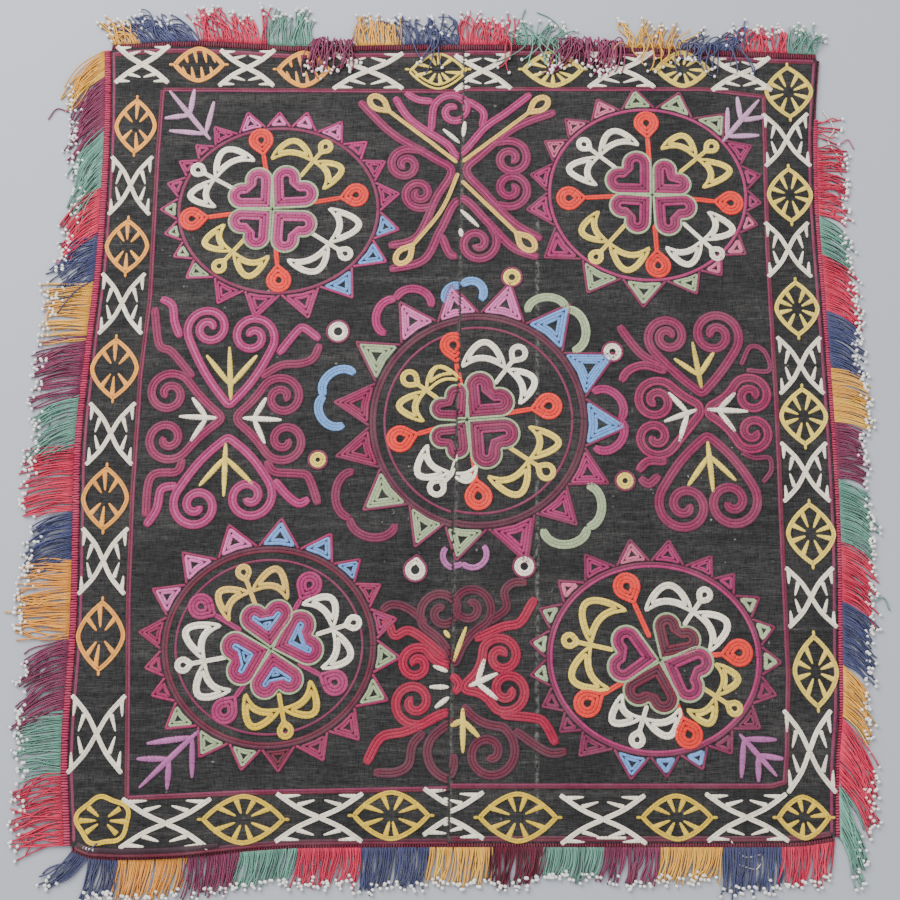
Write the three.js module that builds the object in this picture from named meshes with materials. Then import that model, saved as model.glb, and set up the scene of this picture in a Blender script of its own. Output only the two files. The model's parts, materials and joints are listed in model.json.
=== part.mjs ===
// Embroidered mirror cover, lying face up: two cotton ground panels that meet at a centre seam,
// and four lengths of fringe, each a narrow heading with locks that lie on the surface beside it.
// Millimetres, +Z up. X runs to the right and Y towards the top edge. The origin is on the
// underside, in the middle of the cover, 3 mm left of the seam.
import * as THREE from 'three';

const clothThickness = 1.6;
const seamGap = 0.3;
const edgeGap = 0.35;

// Panel grid: cells across each panel and cells from the bottom edge to the top edge.
const panelCellsAcross = 9;
const panelCellsUp = 20;

const headingHeight = 2.2;
const lockPitch = 5.9;
const lockSteps = 4;
const lockRootShare = 0.78;
const lockFill = 0.6;
const lockTipHeight = 1.2;
const lockWidest = 4.2;
const locksPerHeadingPoint = 2;
const endMargin = 3;

// A folded lock rises from the heading, turns over and lies on the cloth.
const foldOut = 3.4;
const foldTop = 5.4;
const foldRest = 4.1;
const foldThickness = 1.3;

// The four edges and the seam of the cloth, each a line through a few measured points.
const leftEdge = [
  { y: -231.5, x: -200.0 },
  { y: -182, x: -204.6 },
  { y: -120, x: -204.2 },
  { y: -60, x: -206.4 },
  { y: -12, x: -208.0 },
  { y: 47, x: -205.3 },
  { y: 92, x: -202.8 },
  { y: 160, x: -202.4 },
  { y: 195, x: -203.4 },
  { y: 229, x: -205.4 },
];
const rightEdge = [
  { y: -227, x: 201.8 },
  { y: -190, x: 203.8 },
  { y: -160, x: 207.9 },
  { y: -129, x: 209.7 },
  { y: -75, x: 212.6 },
  { y: -18, x: 213.7 },
  { y: 65, x: 213.2 },
  { y: 125, x: 212.7 },
  { y: 165, x: 214.1 },
  { y: 197, x: 216.9 },
  { y: 222, x: 220.2 },
];
const topEdge = [
  { x: -205.4, y: 228.5 },
  { x: -152, y: 230.9 },
  { x: -92, y: 227.6 },
  { x: -31, y: 228.5 },
  { x: 42, y: 228.5 },
  { x: 90, y: 227.2 },
  { x: 150, y: 225.2 },
  { x: 220.2, y: 222.0 },
];
const bottomEdge = [
  { x: -200, y: -231.5 },
  { x: -188, y: -235.4 },
  { x: -148, y: -235.3 },
  { x: -106, y: -231.5 },
  { x: -80, y: -230.0 },
  { x: 0, y: -229.5 },
  { x: 157, y: -229.5 },
  { x: 184, y: -229.0 },
  { x: 201.8, y: -226.5 },
];
const seamLine = [
  { y: -230, x: -1.4 },
  { y: -143, x: -0.9 },
  { y: -101, x: 0.8 },
  { y: -60, x: 0.9 },
  { y: 0, x: 3.2 },
  { y: 47, x: 4.9 },
  { y: 152, x: 5.0 },
  { y: 203, x: 7.5 },
  { y: 229, x: 7.6 },
];

// Places where the cloth stands off the surface it lies on: the rolled hem at the lower left,
// the puckered corner at the upper left, and soft swells beside the dense rounds of stitching.
const swells = [
  { x: -152, y: -234, halfWidth: 46, halfLength: 8, lift: 2.6 },
  { x: -180, y: 229, halfWidth: 26, halfLength: 9, lift: 2.0 },
  { x: 206, y: -186, halfWidth: 11, halfLength: 32, lift: 1.8 },
  { x: 216, y: 205, halfWidth: 12, halfLength: 24, lift: 1.5 },
  { x: -52, y: 66, halfWidth: 26, halfLength: 20, lift: 1.4 },
  { x: 74, y: 60, halfWidth: 24, halfLength: 18, lift: 1.2 },
  { x: -62, y: -70, halfWidth: 22, halfLength: 26, lift: 1.3 },
  { x: 66, y: -84, halfWidth: 24, halfLength: 22, lift: 1.4 },
  { x: -168, y: 36, halfWidth: 18, halfLength: 34, lift: 1.1 },
];
const swellFloor = 0.25;

// Fringe blocks along each edge. "to" is where the block ends, "lean" turns the locks towards
// higher Y or higher X, and "reach" is a lock's length. A block with no reach is a bare stretch.
const leftBlocks = [
  { to: 211, lean: -49, reach: 30 },
  { to: 177, lean: -54, reach: 29 },
  { to: 141, lean: -58, reach: 30 },
  { to: 111, lean: -45, reach: 28 },
  { to: 81, lean: -36, reach: 26 },
  { to: 48, lean: -3, reach: 25 },
  { to: 13, lean: -14, reach: 26 },
  { to: -16, lean: -26, reach: 25 },
  { to: -53, lean: -10, reach: 27 },
  { to: -80, lean: -24, reach: 25 },
  { to: -123, lean: -4, reach: 27 },
  { to: -163, lean: -24, reach: 26 },
  { to: -195, lean: -8, reach: 22 },
  { to: -231, lean: -14, reach: 25 },
];
const rightBlocks = [
  { to: 183, lean: -4, reach: 0 },
  { to: 123, lean: -10, reach: 18 },
  { to: 98, lean: -36, reach: 19 },
  { to: 64, lean: -32, reach: 22 },
  { to: 31, lean: -30, reach: 21 },
  { to: -1, lean: -16, reach: 20 },
  { to: -35, lean: -16, reach: 16 },
  { to: -70, lean: -30, reach: 19 },
  { to: -103, lean: -36, reach: 21 },
  { to: -136, lean: -40, reach: 20 },
  { to: -165, lean: -50, reach: 20 },
  { to: -200, lean: -60, reach: 31 },
  { to: -227, lean: -70, reach: 27 },
];
const topBlocks = [
  { to: -188, lean: -38, reach: 18 },
  { to: -152, lean: -50, reach: 24 },
  { to: -111, lean: -16, reach: 21 },
  { to: -84.5, lean: 2, reach: 20 },
  { to: -58.5, lean: 0, reach: 20, folded: true },
  { to: -31.5, lean: 0, reach: 18 },
  { to: 5.5, lean: -5, reach: 18 },
  { to: 38.5, lean: 3, reach: 18 },
  { to: 65.5, lean: 6, reach: 13 },
  { to: 105.5, lean: 0, reach: 20, folded: true },
  { to: 138.5, lean: 8, reach: 17 },
  { to: 171.5, lean: 46, reach: 18 },
  { to: 202.5, lean: 6, reach: 16 },
  { to: 220, lean: 28, reach: 18 },
];
const bottomBlocks = [
  { to: -190, lean: -48, reach: 22 },
  { to: -173.5, lean: -12, reach: 19 },
  { to: -139.5, lean: -12, reach: 19 },
  { to: -111.5, lean: -8, reach: 19 },
  { to: -80.5, lean: -14, reach: 18 },
  { to: -48.5, lean: -6, reach: 19 },
  { to: -11.5, lean: -8, reach: 20 },
  { to: 22.5, lean: -8, reach: 18 },
  { to: 49.5, lean: -10, reach: 19 },
  { to: 80.5, lean: -14, reach: 15 },
  { to: 109.5, lean: -14, reach: 18 },
  { to: 142.5, lean: -14, reach: 17 },
  { to: 174.5, lean: -6, reach: 22 },
  { to: 202, lean: -8, reach: 19 },
];

// How each length of fringe lies: the line it follows, its outward direction, and the heading's
// width. "mirrored" is true where along, outward and up make a left-handed set.
const sides = [
  { name: 'fringe_left', line: leftEdge, key: 'y', outward: -1, mirrored: false, width: 4.4, blocks: leftBlocks },
  { name: 'fringe_right', line: rightEdge, key: 'y', outward: 1, mirrored: true, width: 4.0, blocks: rightBlocks },
  { name: 'fringe_top', line: topEdge, key: 'x', outward: 1, mirrored: false, width: 4.2, blocks: topBlocks },
  { name: 'fringe_bottom', line: bottomEdge, key: 'x', outward: -1, mirrored: true, width: 2.8, blocks: bottomBlocks },
];

const materials = {
  cotton: new THREE.MeshStandardMaterial({ color: 0x2b2c2a, roughness: 0.95, metalness: 0 }),
  silk: new THREE.MeshStandardMaterial({ color: 0xa82c50, roughness: 0.7, metalness: 0 }),
};

// Reads a line at a place along it, as a smooth curve through its points.
function readLine(line, key, place) {
  const other = key === 'y' ? 'x' : 'y';
  const last = line.length - 1;
  const at = THREE.MathUtils.clamp(place, line[0][key], line[last][key]);
  let i = 0;
  while (i < last - 1 && line[i + 1][key] < at) i += 1;
  const slope = (k) => {
    const before = line[Math.max(k - 1, 0)];
    const after = line[Math.min(k + 1, last)];
    return (after[other] - before[other]) / (after[key] - before[key]);
  };
  const span = line[i + 1][key] - line[i][key];
  const t = (at - line[i][key]) / span;
  const bow0 = slope(i) * span * t * (1 - t) * (1 - t);
  const bow1 = slope(i + 1) * span * t * t * (t - 1);
  const blend = t * t * (3 - 2 * t);
  return THREE.MathUtils.lerp(line[i][other], line[i + 1][other], blend) + bow0 + bow1;
}

// Height of the cloth's underside above the surface it lies on.
function clothLift(x, y) {
  let sum = 0;
  for (const s of swells) {
    sum += s.lift * Math.exp(-(((x - s.x) / s.halfWidth) ** 2) - ((y - s.y) / s.halfLength) ** 2);
  }
  return Math.max(0, sum - swellFloor);
}

// Joins corner points and triangles into one mesh geometry.
function toGeometry(points, faces) {
  const geometry = new THREE.BufferGeometry();
  geometry.setAttribute('position', new THREE.Float32BufferAttribute(points.flat(), 3));
  geometry.setIndex(faces.flat());
  geometry.computeVertexNormals();
  return geometry;
}

// One ground panel: a sheet of even thickness on a grid between two upright lines.
function panelGeometry(lineFrom, lineTo, insetFrom, insetTo) {
  const rows = panelCellsUp + 1;
  const columns = panelCellsAcross + 1;
  const points = [];
  const faces = [];
  for (const layer of [0, clothThickness]) {
    for (let i = 0; i < columns; i += 1) {
      for (let j = 0; j < rows; j += 1) {
        const across = i / panelCellsAcross;
        const up = j / panelCellsUp;
        let x = 0;
        let y = 0;
        for (let pass = 0; pass < 5; pass += 1) {
          const from = readLine(lineFrom, 'y', y) + insetFrom;
          const to = readLine(lineTo, 'y', y) - insetTo;
          x = THREE.MathUtils.lerp(from, to, across);
          y = THREE.MathUtils.lerp(readLine(bottomEdge, 'x', x), readLine(topEdge, 'x', x), up);
        }
        points.push([x, y, clothLift(x, y) + layer]);
      }
    }
  }
  const top = rows * columns;
  const quad = (a, b, c, d) => faces.push([a, b, c], [a, c, d]);
  for (let i = 0; i < panelCellsAcross; i += 1) {
    for (let j = 0; j < panelCellsUp; j += 1) {
      const a = i * rows + j;
      const b = a + rows;
      quad(top + a, top + b, top + b + 1, top + a + 1);
      quad(a, a + 1, b + 1, b);
    }
    const low = i * rows;
    const high = low + panelCellsUp;
    quad(low, low + rows, top + low + rows, top + low);
    quad(high + rows, high, top + high, top + high + rows);
  }
  const far = panelCellsAcross * rows;
  for (let j = 0; j < panelCellsUp; j += 1) {
    quad(j + 1, j, top + j, top + j + 1);
    quad(far + j, far + j + 1, top + far + j + 1, top + far + j);
  }
  return toGeometry(points, faces);
}

// A repeatable number from -1 to 1 that makes neighbouring locks differ.
function wobble(index, seed) {
  const wave = Math.sin(index * 12.9898 + seed * 78.233) * 43758.5453;
  return 2 * (wave - Math.floor(wave)) - 1;
}

// The blocks of a side as stretches in rising order, each with its middle.
function stretchesOf(side, start, end) {
  const stretches = [];
  const falling = side.key === 'y';
  let from = falling ? end : start;
  for (const block of side.blocks) {
    stretches.push({ ...block, low: Math.min(from, block.to), high: Math.max(from, block.to) });
    from = block.to;
  }
  if (falling) stretches.reverse();
  return stretches.map((s) => ({ ...s, middle: (s.low + s.high) / 2 }));
}

// Lean and reach at a place, blended between the middles of neighbouring stretches.
function styleAt(stretches, place) {
  const own = stretches.find((s) => place <= s.high) ?? stretches[stretches.length - 1];
  const index = stretches.indexOf(own);
  const next = stretches[index + (place < own.middle ? -1 : 1)];
  if (!next) return own;
  const t = Math.abs(place - own.middle) / Math.abs(next.middle - own.middle);
  return { ...own, lean: THREE.MathUtils.lerp(own.lean, next.lean, t) };
}

// The middle line of a lock that lies on the surface: a step bends more the further out it is.
function flatPath(root, outside, style) {
  const curl = 0.9 - Math.abs(style.lean) / 90;
  const path = [{ along: root, out: outside, z: 0, turn: 0 }];
  for (let k = 1; k <= lockSteps; k += 1) {
    const t = (k - 0.5) / lockSteps;
    const turn = THREE.MathUtils.degToRad(style.lean * (1 - curl + 2 * curl * t));
    const before = path[k - 1];
    const step = style.reach / lockSteps;
    path.push({
      along: before.along + Math.sin(turn) * step,
      out: before.out + Math.cos(turn) * step,
      z: 0,
      turn,
    });
  }
  return path;
}

// The middle line of a lock that is folded back over the heading onto the cloth.
function foldedPath(root, outside, style, index) {
  const drift = 1.5 * wobble(index, 5);
  const reach = style.reach - foldOut - 2;
  return [
    { along: root, out: outside, z: 0, tilt: 0 },
    { along: root, out: outside + foldOut, z: foldTop * 0.35, tilt: 55 },
    { along: root + drift * 0.3, out: outside + foldOut * 0.5, z: foldTop, tilt: 140 },
    { along: root + drift * 0.6, out: outside - reach * 0.4, z: foldTop, tilt: 178 },
    { along: root + drift, out: outside - reach, z: foldRest, tilt: 178 },
  ];
}

// The three corners of a lock at one step of its path: two on its flat base, one on its ridge.
function lockSection(step, width, height) {
  if (step.tilt !== undefined) {
    const tilt = THREE.MathUtils.degToRad(step.tilt);
    return [
      [step.along - width / 2, step.out, step.z],
      [step.along + width / 2, step.out, step.z],
      [step.along, step.out - Math.sin(tilt) * height, step.z + Math.cos(tilt) * height],
    ];
  }
  const dx = (Math.cos(step.turn) * width) / 2;
  const dy = (Math.sin(step.turn) * width) / 2;
  return [
    [step.along - dx, step.out + dy, 0],
    [step.along + dx, step.out - dy, 0],
    [step.along, step.out, height],
  ];
}

// All the locks of a side, each a list of three-cornered sections from heading to tip.
function locksOf(side, start, end, outerAt) {
  const stretches = stretchesOf(side, start, end);
  const count = Math.floor((end - start - 2 * endMargin) / lockPitch);
  const pitch = (end - start - 2 * endMargin) / count;
  const paths = [];
  for (let i = 0; i < count; i += 1) {
    const root = start + endMargin + (i + 0.5) * pitch;
    const style = styleAt(stretches, root);
    if (style.reach === 0) continue;
    const own = { ...style, reach: style.reach * (1 + 0.07 * wobble(i, 1)) };
    const outside = outerAt(root);
    paths.push(own.folded ? foldedPath(root, outside, own, i) : flatPath(root, outside, own));
  }
  return paths.map((path, i) =>
    path.map((step, k) => {
      if (k === 0) return lockSection({ ...step, tilt: 0 }, pitch * lockRootShare, headingHeight);
      let room = lockWidest / lockFill;
      for (const other of [paths[i - 1], paths[i + 1]]) {
        if (!other || (other[1].tilt === undefined) !== (step.tilt === undefined)) continue;
        const turn = step.turn ?? 0;
        const along = (other[k].along - step.along) * Math.cos(turn);
        const out = (other[k].out - step.out) * Math.sin(turn);
        room = Math.min(room, Math.abs(along - out));
      }
      const t = k / lockSteps;
      const height = step.tilt === undefined
        ? THREE.MathUtils.lerp(headingHeight, lockTipHeight, t)
        : foldThickness;
      const slimming = k === lockSteps ? 0.75 : 1;
      return lockSection(step, room * lockFill * slimming, height);
    }),
  );
}

// One length of fringe: the heading as a low bar along the cloth's edge, with the locks growing
// from its outer wall as one body.
function fringeGeometry(side) {
  const start = side.line[0][side.key];
  const end = side.line[side.line.length - 1][side.key];
  const innerAt = (place) => side.outward * readLine(side.line, side.key, place) + edgeGap;
  const outerAt = (place) => innerAt(place) + side.width;
  const locks = locksOf(side, start, end, outerAt);
  const points = [];
  const faces = [];
  const add = (point) => points.push(point) - 1;
  const quad = (a, b, c, d) => faces.push([a, b, c], [a, c, d]);

  const startFoot = add([start, outerAt(start), 0]);
  const startTop = add([start, outerAt(start), headingHeight]);
  const endFoot = add([end, outerAt(end), 0]);
  const endTop = add([end, outerAt(end), headingHeight]);
  const feet = [startFoot];
  const crests = [startTop];
  for (const lock of locks) {
    let ring = lock[0].map(add);
    quad(feet[feet.length - 1], crests[crests.length - 1], ring[2], ring[0]);
    feet.push(ring[0], ring[1]);
    crests.push(ring[2]);
    for (const section of lock.slice(1)) {
      const next = section.map(add);
      for (let k = 0; k < 3; k += 1) {
        const m = (k + 1) % 3;
        quad(ring[k], next[k], next[m], ring[m]);
      }
      ring = next;
    }
    faces.push([ring[0], ring[2], ring[1]]);
  }
  quad(feet[feet.length - 1], crests[crests.length - 1], endTop, endFoot);
  feet.push(endFoot);
  crests.push(endTop);

  const innerCount = Math.round((end - start) / (lockPitch * locksPerHeadingPoint));
  const innerFeet = [];
  const innerTops = [];
  for (let i = 0; i <= innerCount; i += 1) {
    const place = THREE.MathUtils.lerp(start, end, i / innerCount);
    innerFeet.push(add([place, innerAt(place), 0]));
    innerTops.push(add([place, innerAt(place), headingHeight]));
    if (i > 0) quad(innerFeet[i - 1], innerFeet[i], innerTops[i], innerTops[i - 1]);
  }
  const halfSpan = (end - start) / innerCount / 2;
  const zip = (inner, outer, facesUp) => {
    let i = 0;
    let j = 0;
    while (i < inner.length - 1 || j < outer.length - 1) {
      const nextInner = i < inner.length - 1 ? points[inner[i + 1]][0] - halfSpan : Infinity;
      const nextOuter = j < outer.length - 1 ? points[outer[j + 1]][0] : Infinity;
      const face = nextInner <= nextOuter
        ? [inner[i], inner[i + 1], outer[j]]
        : [inner[i], outer[j + 1], outer[j]];
      if (nextInner <= nextOuter) i += 1;
      else j += 1;
      faces.push(facesUp ? face : [face[0], face[2], face[1]]);
    }
  };
  zip(innerTops, crests, true);
  zip(innerFeet, feet, false);
  quad(innerFeet[0], innerTops[0], startTop, startFoot);
  quad(innerFeet[innerCount], endFoot, endTop, innerTops[innerCount]);

  const placed = points.map(([along, out, z]) =>
    side.key === 'x' ? [along, side.outward * out, z] : [side.outward * out, along, z]);
  const turned = side.mirrored ? faces.map(([a, b, c]) => [a, c, b]) : faces;
  return toGeometry(placed, turned);
}

const group = new THREE.Group();

function addPiece(name, geometry, material) {
  const mesh = new THREE.Mesh(geometry, material);
  mesh.name = name;
  group.add(mesh);
}

addPiece('ground_left', panelGeometry(leftEdge, seamLine, 0, seamGap / 2), materials.cotton);
addPiece('ground_right', panelGeometry(seamLine, rightEdge, seamGap / 2, 0), materials.cotton);
for (const side of sides) {
  addPiece(side.name, fringeGeometry(side), materials.silk);
}

export default group;
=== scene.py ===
# Embroidered mirror cover, lying face up on a pale floor: charcoal cotton in two panels, chain-stitched
# silk motifs, a ribbed heading and a beaded silk fringe. The tables are in millimetres, in the frame of
# the part (X right, Y towards the top edge, Z up), and meshes are built in metres.
import json
import math
import bpy
import numpy as np
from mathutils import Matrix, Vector

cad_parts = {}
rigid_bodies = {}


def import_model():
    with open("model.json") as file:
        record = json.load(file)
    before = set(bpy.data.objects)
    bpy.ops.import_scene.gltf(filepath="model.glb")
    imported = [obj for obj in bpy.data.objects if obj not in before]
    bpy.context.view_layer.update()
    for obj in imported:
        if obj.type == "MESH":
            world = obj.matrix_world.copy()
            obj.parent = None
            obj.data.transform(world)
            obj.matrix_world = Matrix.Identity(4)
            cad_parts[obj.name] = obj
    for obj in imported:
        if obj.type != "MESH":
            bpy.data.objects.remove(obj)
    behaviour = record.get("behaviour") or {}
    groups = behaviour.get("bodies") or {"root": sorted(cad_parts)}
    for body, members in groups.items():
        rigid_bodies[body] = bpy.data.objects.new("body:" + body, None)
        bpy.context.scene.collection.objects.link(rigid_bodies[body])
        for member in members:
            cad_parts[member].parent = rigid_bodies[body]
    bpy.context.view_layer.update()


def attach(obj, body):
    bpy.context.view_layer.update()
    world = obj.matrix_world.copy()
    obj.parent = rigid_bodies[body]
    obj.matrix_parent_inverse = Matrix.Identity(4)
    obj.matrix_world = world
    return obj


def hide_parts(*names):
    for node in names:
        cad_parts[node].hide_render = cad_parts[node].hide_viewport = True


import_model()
bpy.ops.object.select_all(action="DESELECT")
mm = 0.001
dice = np.random.default_rng(41)


# A dictionary for each row of a table; a row may leave out its last columns
def named(keys, rows):
    return [dict(zip(keys.split(), row)) for row in rows]


print("stage: camera, floor and light")
view = dict(x=-0.88, y=-168, z=688, aimY=-18, lens=50, sensor=36)
room = dict(floorColour=(0.66, 0.67, 0.70), skyColour=(0.95, 0.97, 1.0), skyStrength=0.91, lampSize=0.9,
            keyEnergy=25, keyPlace=(-0.62, 0.70, 0.88), fillEnergy=6, fillPlace=(0.85, -0.35, 1.2))


def addCamera():
    place = Vector((view["x"], view["y"], view["z"])) * mm
    aim = Vector((view["x"], view["aimY"], 0)) * mm
    bpy.ops.object.camera_add(location=place, rotation=(aim - place).to_track_quat("-Z", "Y").to_euler())
    camera = bpy.context.object
    camera.data.lens = view["lens"]
    camera.data.sensor_width = view["sensor"]
    camera.data.clip_start = 0.02
    bpy.context.scene.camera = camera


def addLamp(kind):
    place = room[kind + "Place"]
    bpy.ops.object.light_add(type="AREA", location=place)
    lamp = bpy.context.object
    lamp.name = kind + "Light"
    lamp.rotation_euler = (-Vector(place)).to_track_quat("-Z", "Y").to_euler()
    lamp.data.energy = room[kind + "Energy"]
    lamp.data.size = room["lampSize"]


addCamera()
addLamp("key")
addLamp("fill")
world = bpy.context.scene.world or bpy.data.worlds.new("softRoom")
bpy.context.scene.world = world
world.use_nodes = True
sky = world.node_tree.nodes["Background"].inputs
sky["Color"].default_value = (*room["skyColour"], 1)
sky["Strength"].default_value = room["skyStrength"]


# A socket that can be added to, multiplied and compared like a number
class Value:
    def __init__(self, material, socket):
        self.material = material
        self.socket = socket

    def sum(self, operation, *others):
        return self.material.node("ShaderNodeMath", {"operation": operation}, [self, *others])

    def __add__(self, other):
        return self.sum("ADD", other)

    def __radd__(self, other):
        return self.sum("ADD", other)

    def __sub__(self, other):
        return self.sum("SUBTRACT", other)

    def __rsub__(self, other):
        return self.material.node("ShaderNodeMath", {"operation": "SUBTRACT"}, [other, self])

    def __mul__(self, other):
        return self.sum("MULTIPLY", other)

    def __rmul__(self, other):
        return self.sum("MULTIPLY", other)

    def __lt__(self, other):
        return self.sum("LESS_THAN", other)

    def __abs__(self):
        return self.sum("ABSOLUTE")

    def sine(self):
        return self.sum("SINE")

    def clamped(self, low, high):
        limits = {"Value": self, "From Min": low, "From Max": high}
        return self.material.node("ShaderNodeMapRange", {}, limits)


# A material whose nodes are made by one method
class Finish:
    def __init__(self, name, **constants):
        self.data = bpy.data.materials.new(name)
        self.data.use_nodes = True
        self.tree = self.data.node_tree
        self.shader = self.tree.nodes["Principled BSDF"]
        for socket, value in constants.items():
            self.shader.inputs[socket.replace("_", " ")].default_value = value

    def fill(self, socket, value):
        if isinstance(value, Value):
            self.tree.links.new(value.socket, socket)
        else:
            socket.default_value = value

    def node(self, kind, settings, values, output=0):
        made = self.tree.nodes.new(kind)
        for key, value in settings.items():
            setattr(made, key, value)
        for key, value in values.items() if isinstance(values, dict) else enumerate(values):
            self.fill(made.inputs[key], value)
        return Value(self, made.outputs[output])

    def feed(self, socket, value):
        self.fill(self.shader.inputs[socket], value)

    def objectPlace(self, scale=(1, 1, 1), turn=0):
        place = self.node("ShaderNodeTexCoord", {}, {}, "Object")
        return self.node("ShaderNodeMapping", {}, {"Vector": place, "Scale": scale, "Rotation": (0, 0, turn)})

    # The first two numbers of a vector
    def axes(self, vector):
        split = self.node("ShaderNodeSeparateXYZ", {}, {"Vector": vector})
        return split, Value(self, split.socket.node.outputs[1])

    # The colour that meshPiece gives each corner: the dye, with the painted shade of the stitch rows, heading
    # ribs and fringe threads
    def dyeAndPaintedShade(self):
        return self.node("ShaderNodeAttribute", {"attribute_name": "dyeAndPaintedShade"}, {}, "Color")

    def noise(self, place, scale, detail=2, roughness=0.5):
        values = {"Vector": place, "Scale": scale, "Detail": detail, "Roughness": roughness}
        return self.node("ShaderNodeTexNoise", {}, values)

    def mixed(self, share, first, second, blend="MIX"):
        settings = {"data_type": "RGBA", "blend_type": blend}
        return self.node("ShaderNodeMix", settings, {0: share, 6: first, 7: second}, 2)

    def bumped(self, height, strength, distance):
        bump = self.node("ShaderNodeBump", {}, {"Height": height, "Strength": strength, "Distance": distance})
        self.feed("Normal", bump)


# sRGB numbers as a linear colour
def linear(colour):
    return tuple(c / 12.92 if c <= 0.04045 else ((c + 0.055) / 1.055) ** 2.4 for c in colour)


# The same with its alpha, as a colour socket takes it
def paint(*colour):
    return (*linear(colour), 1)


bpy.ops.mesh.primitive_plane_add(size=6, location=(0, 0, -0.0003))
floor = bpy.context.object
floor.name = "paleFloor"
floor.data.materials.append(Finish("paleFloor", Roughness=0.85, Base_Color=paint(*room["floorColour"])).data)

print("stage: cloth")
cloth = dict(thickness=1.6, wall=1.4, seamGap=0.14, edgeGap=0.35, columns=75, rows=164, ripple=0.16,
             seamDip=0.25, seamDipReach=1.6)

# The four edges and the seam of the cloth, each a line through a few measured points
leftEdge = dict(y=[-231.5, -182, -120, -60, -12, 47, 92, 160, 195, 229],
                x=[-200, -204.6, -204.2, -206.4, -208, -205.3, -202.8, -202.4, -203.4, -205.4])
rightEdge = dict(y=[-227, -190, -160, -129, -75, -18, 65, 125, 165, 197, 222],
                 x=[201.8, 203.8, 207.9, 209.7, 212.6, 213.7, 213.2, 212.7, 214.1, 216.9, 220.2])
topEdge = dict(x=[-205.4, -152, -92, -31, 42, 90, 150, 220.2],
               y=[228.5, 230.9, 227.6, 228.5, 228.5, 227.2, 225.2, 222])
bottomEdge = dict(x=[-200, -188, -148, -106, -80, 0, 157, 184, 201.8],
                  y=[-231.5, -235.4, -235.3, -231.5, -230, -229.5, -229.5, -229, -226.5])
seamLine = dict(y=[-230, -143, -101, -60, 0, 47, 152, 203, 229],
                x=[-1.4, -0.9, 0.8, 0.9, 3.2, 4.9, 5, 7.5, 7.6])

# Places where the cloth stands off the floor
swells = named("x y halfWidth halfLength lift", [
    (-152, -234, 46, 8, 2.6), (-180, 229, 26, 9, 2), (206, -186, 11, 32, 1.8), (216, 205, 12, 24, 1.5),
    (-52, 66, 26, 20, 1.4), (74, 60, 24, 18, 1.2), (-62, -70, 22, 26, 1.3), (66, -84, 24, 22, 1.4),
    (-168, 36, 18, 34, 1.1),
])
swellFloor = 0.25

# Shallow creases pressed into the cloth between the motifs
creases = named("x y turn length width height", [
    (-60, 182, -4, 26, 1.6, 0.5), (-10, 168, -8, 18, 1.5, 0.45), (46, 166, 6, 20, 1.6, 0.45),
    (52, 150, -3, 22, 1.5, 0.5), (60, 134, 4, 26, 1.8, 0.5), (-52, 96, 2, 22, 1.6, 0.4),
    (-132, -24, 0, 14, 1.4, 0.4), (-148, 6, 8, 16, 1.4, 0.4), (128, 28, -10, 18, 1.6, 0.5),
    (104, 12, 6, 16, 1.4, 0.4), (146, -30, -4, 16, 1.4, 0.4), (-46, -146, 2, 20, 1.6, 0.4),
])


# Reads a line at places along it, as a smooth curve through its points
def readLine(line, key, places):
    other = "x" if key == "y" else "y"
    k = np.array(line[key], float)
    v = np.array(line[other], float)
    at = np.clip(np.asarray(places, float), k[0], k[-1])
    slope = np.empty_like(k)
    slope[1:-1] = (v[2:] - v[:-2]) / (k[2:] - k[:-2])
    slope[0] = (v[1] - v[0]) / (k[1] - k[0])
    slope[-1] = (v[-1] - v[-2]) / (k[-1] - k[-2])
    i = np.clip(np.searchsorted(k, at, side="left") - 1, 0, len(k) - 2)
    span = k[i + 1] - k[i]
    t = (at - k[i]) / span
    bow = slope[i] * span * t * (1 - t) ** 2 + slope[i + 1] * span * t * t * (t - 1)
    blend = t * t * (3 - 2 * t)
    return v[i] + (v[i + 1] - v[i]) * blend + bow


# Height of the cloth's underside above the floor
def clothLift(x, y):
    total = np.zeros(np.broadcast(x, y).shape)
    for s in swells:
        total = total + s["lift"] * np.exp(-((x - s["x"]) / s["halfWidth"]) ** 2
                                           - ((y - s["y"]) / s["halfLength"]) ** 2)
    return np.maximum(0, total - swellFloor)


# Height of the cloth's face, with its ripples, its creases and the furrow along the seam
def clothFace(x, y):
    x = np.asarray(x, float)
    y = np.asarray(y, float)
    ripple = np.sin(x / 7.3 + 1.7 * np.sin(y / 19)) * np.sin(y / 9.1 + 1.3 * np.sin(x / 23))
    height = clothLift(x, y) + cloth["thickness"] + cloth["ripple"] * (1 + ripple)
    for c in creases:
        turn = math.radians(c["turn"])
        along = (x - c["x"]) * math.cos(turn) + (y - c["y"]) * math.sin(turn)
        across = (y - c["y"]) * math.cos(turn) - (x - c["x"]) * math.sin(turn)
        height = height + c["height"] * np.exp(-(along / c["length"] * 2) ** 2 - (across / c["width"]) ** 2)
    fromSeam = np.abs(x - readLine(seamLine, "y", y))
    return height - cloth["seamDip"] * np.exp(-(fromSeam / cloth["seamDipReach"]) ** 2)


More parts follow.
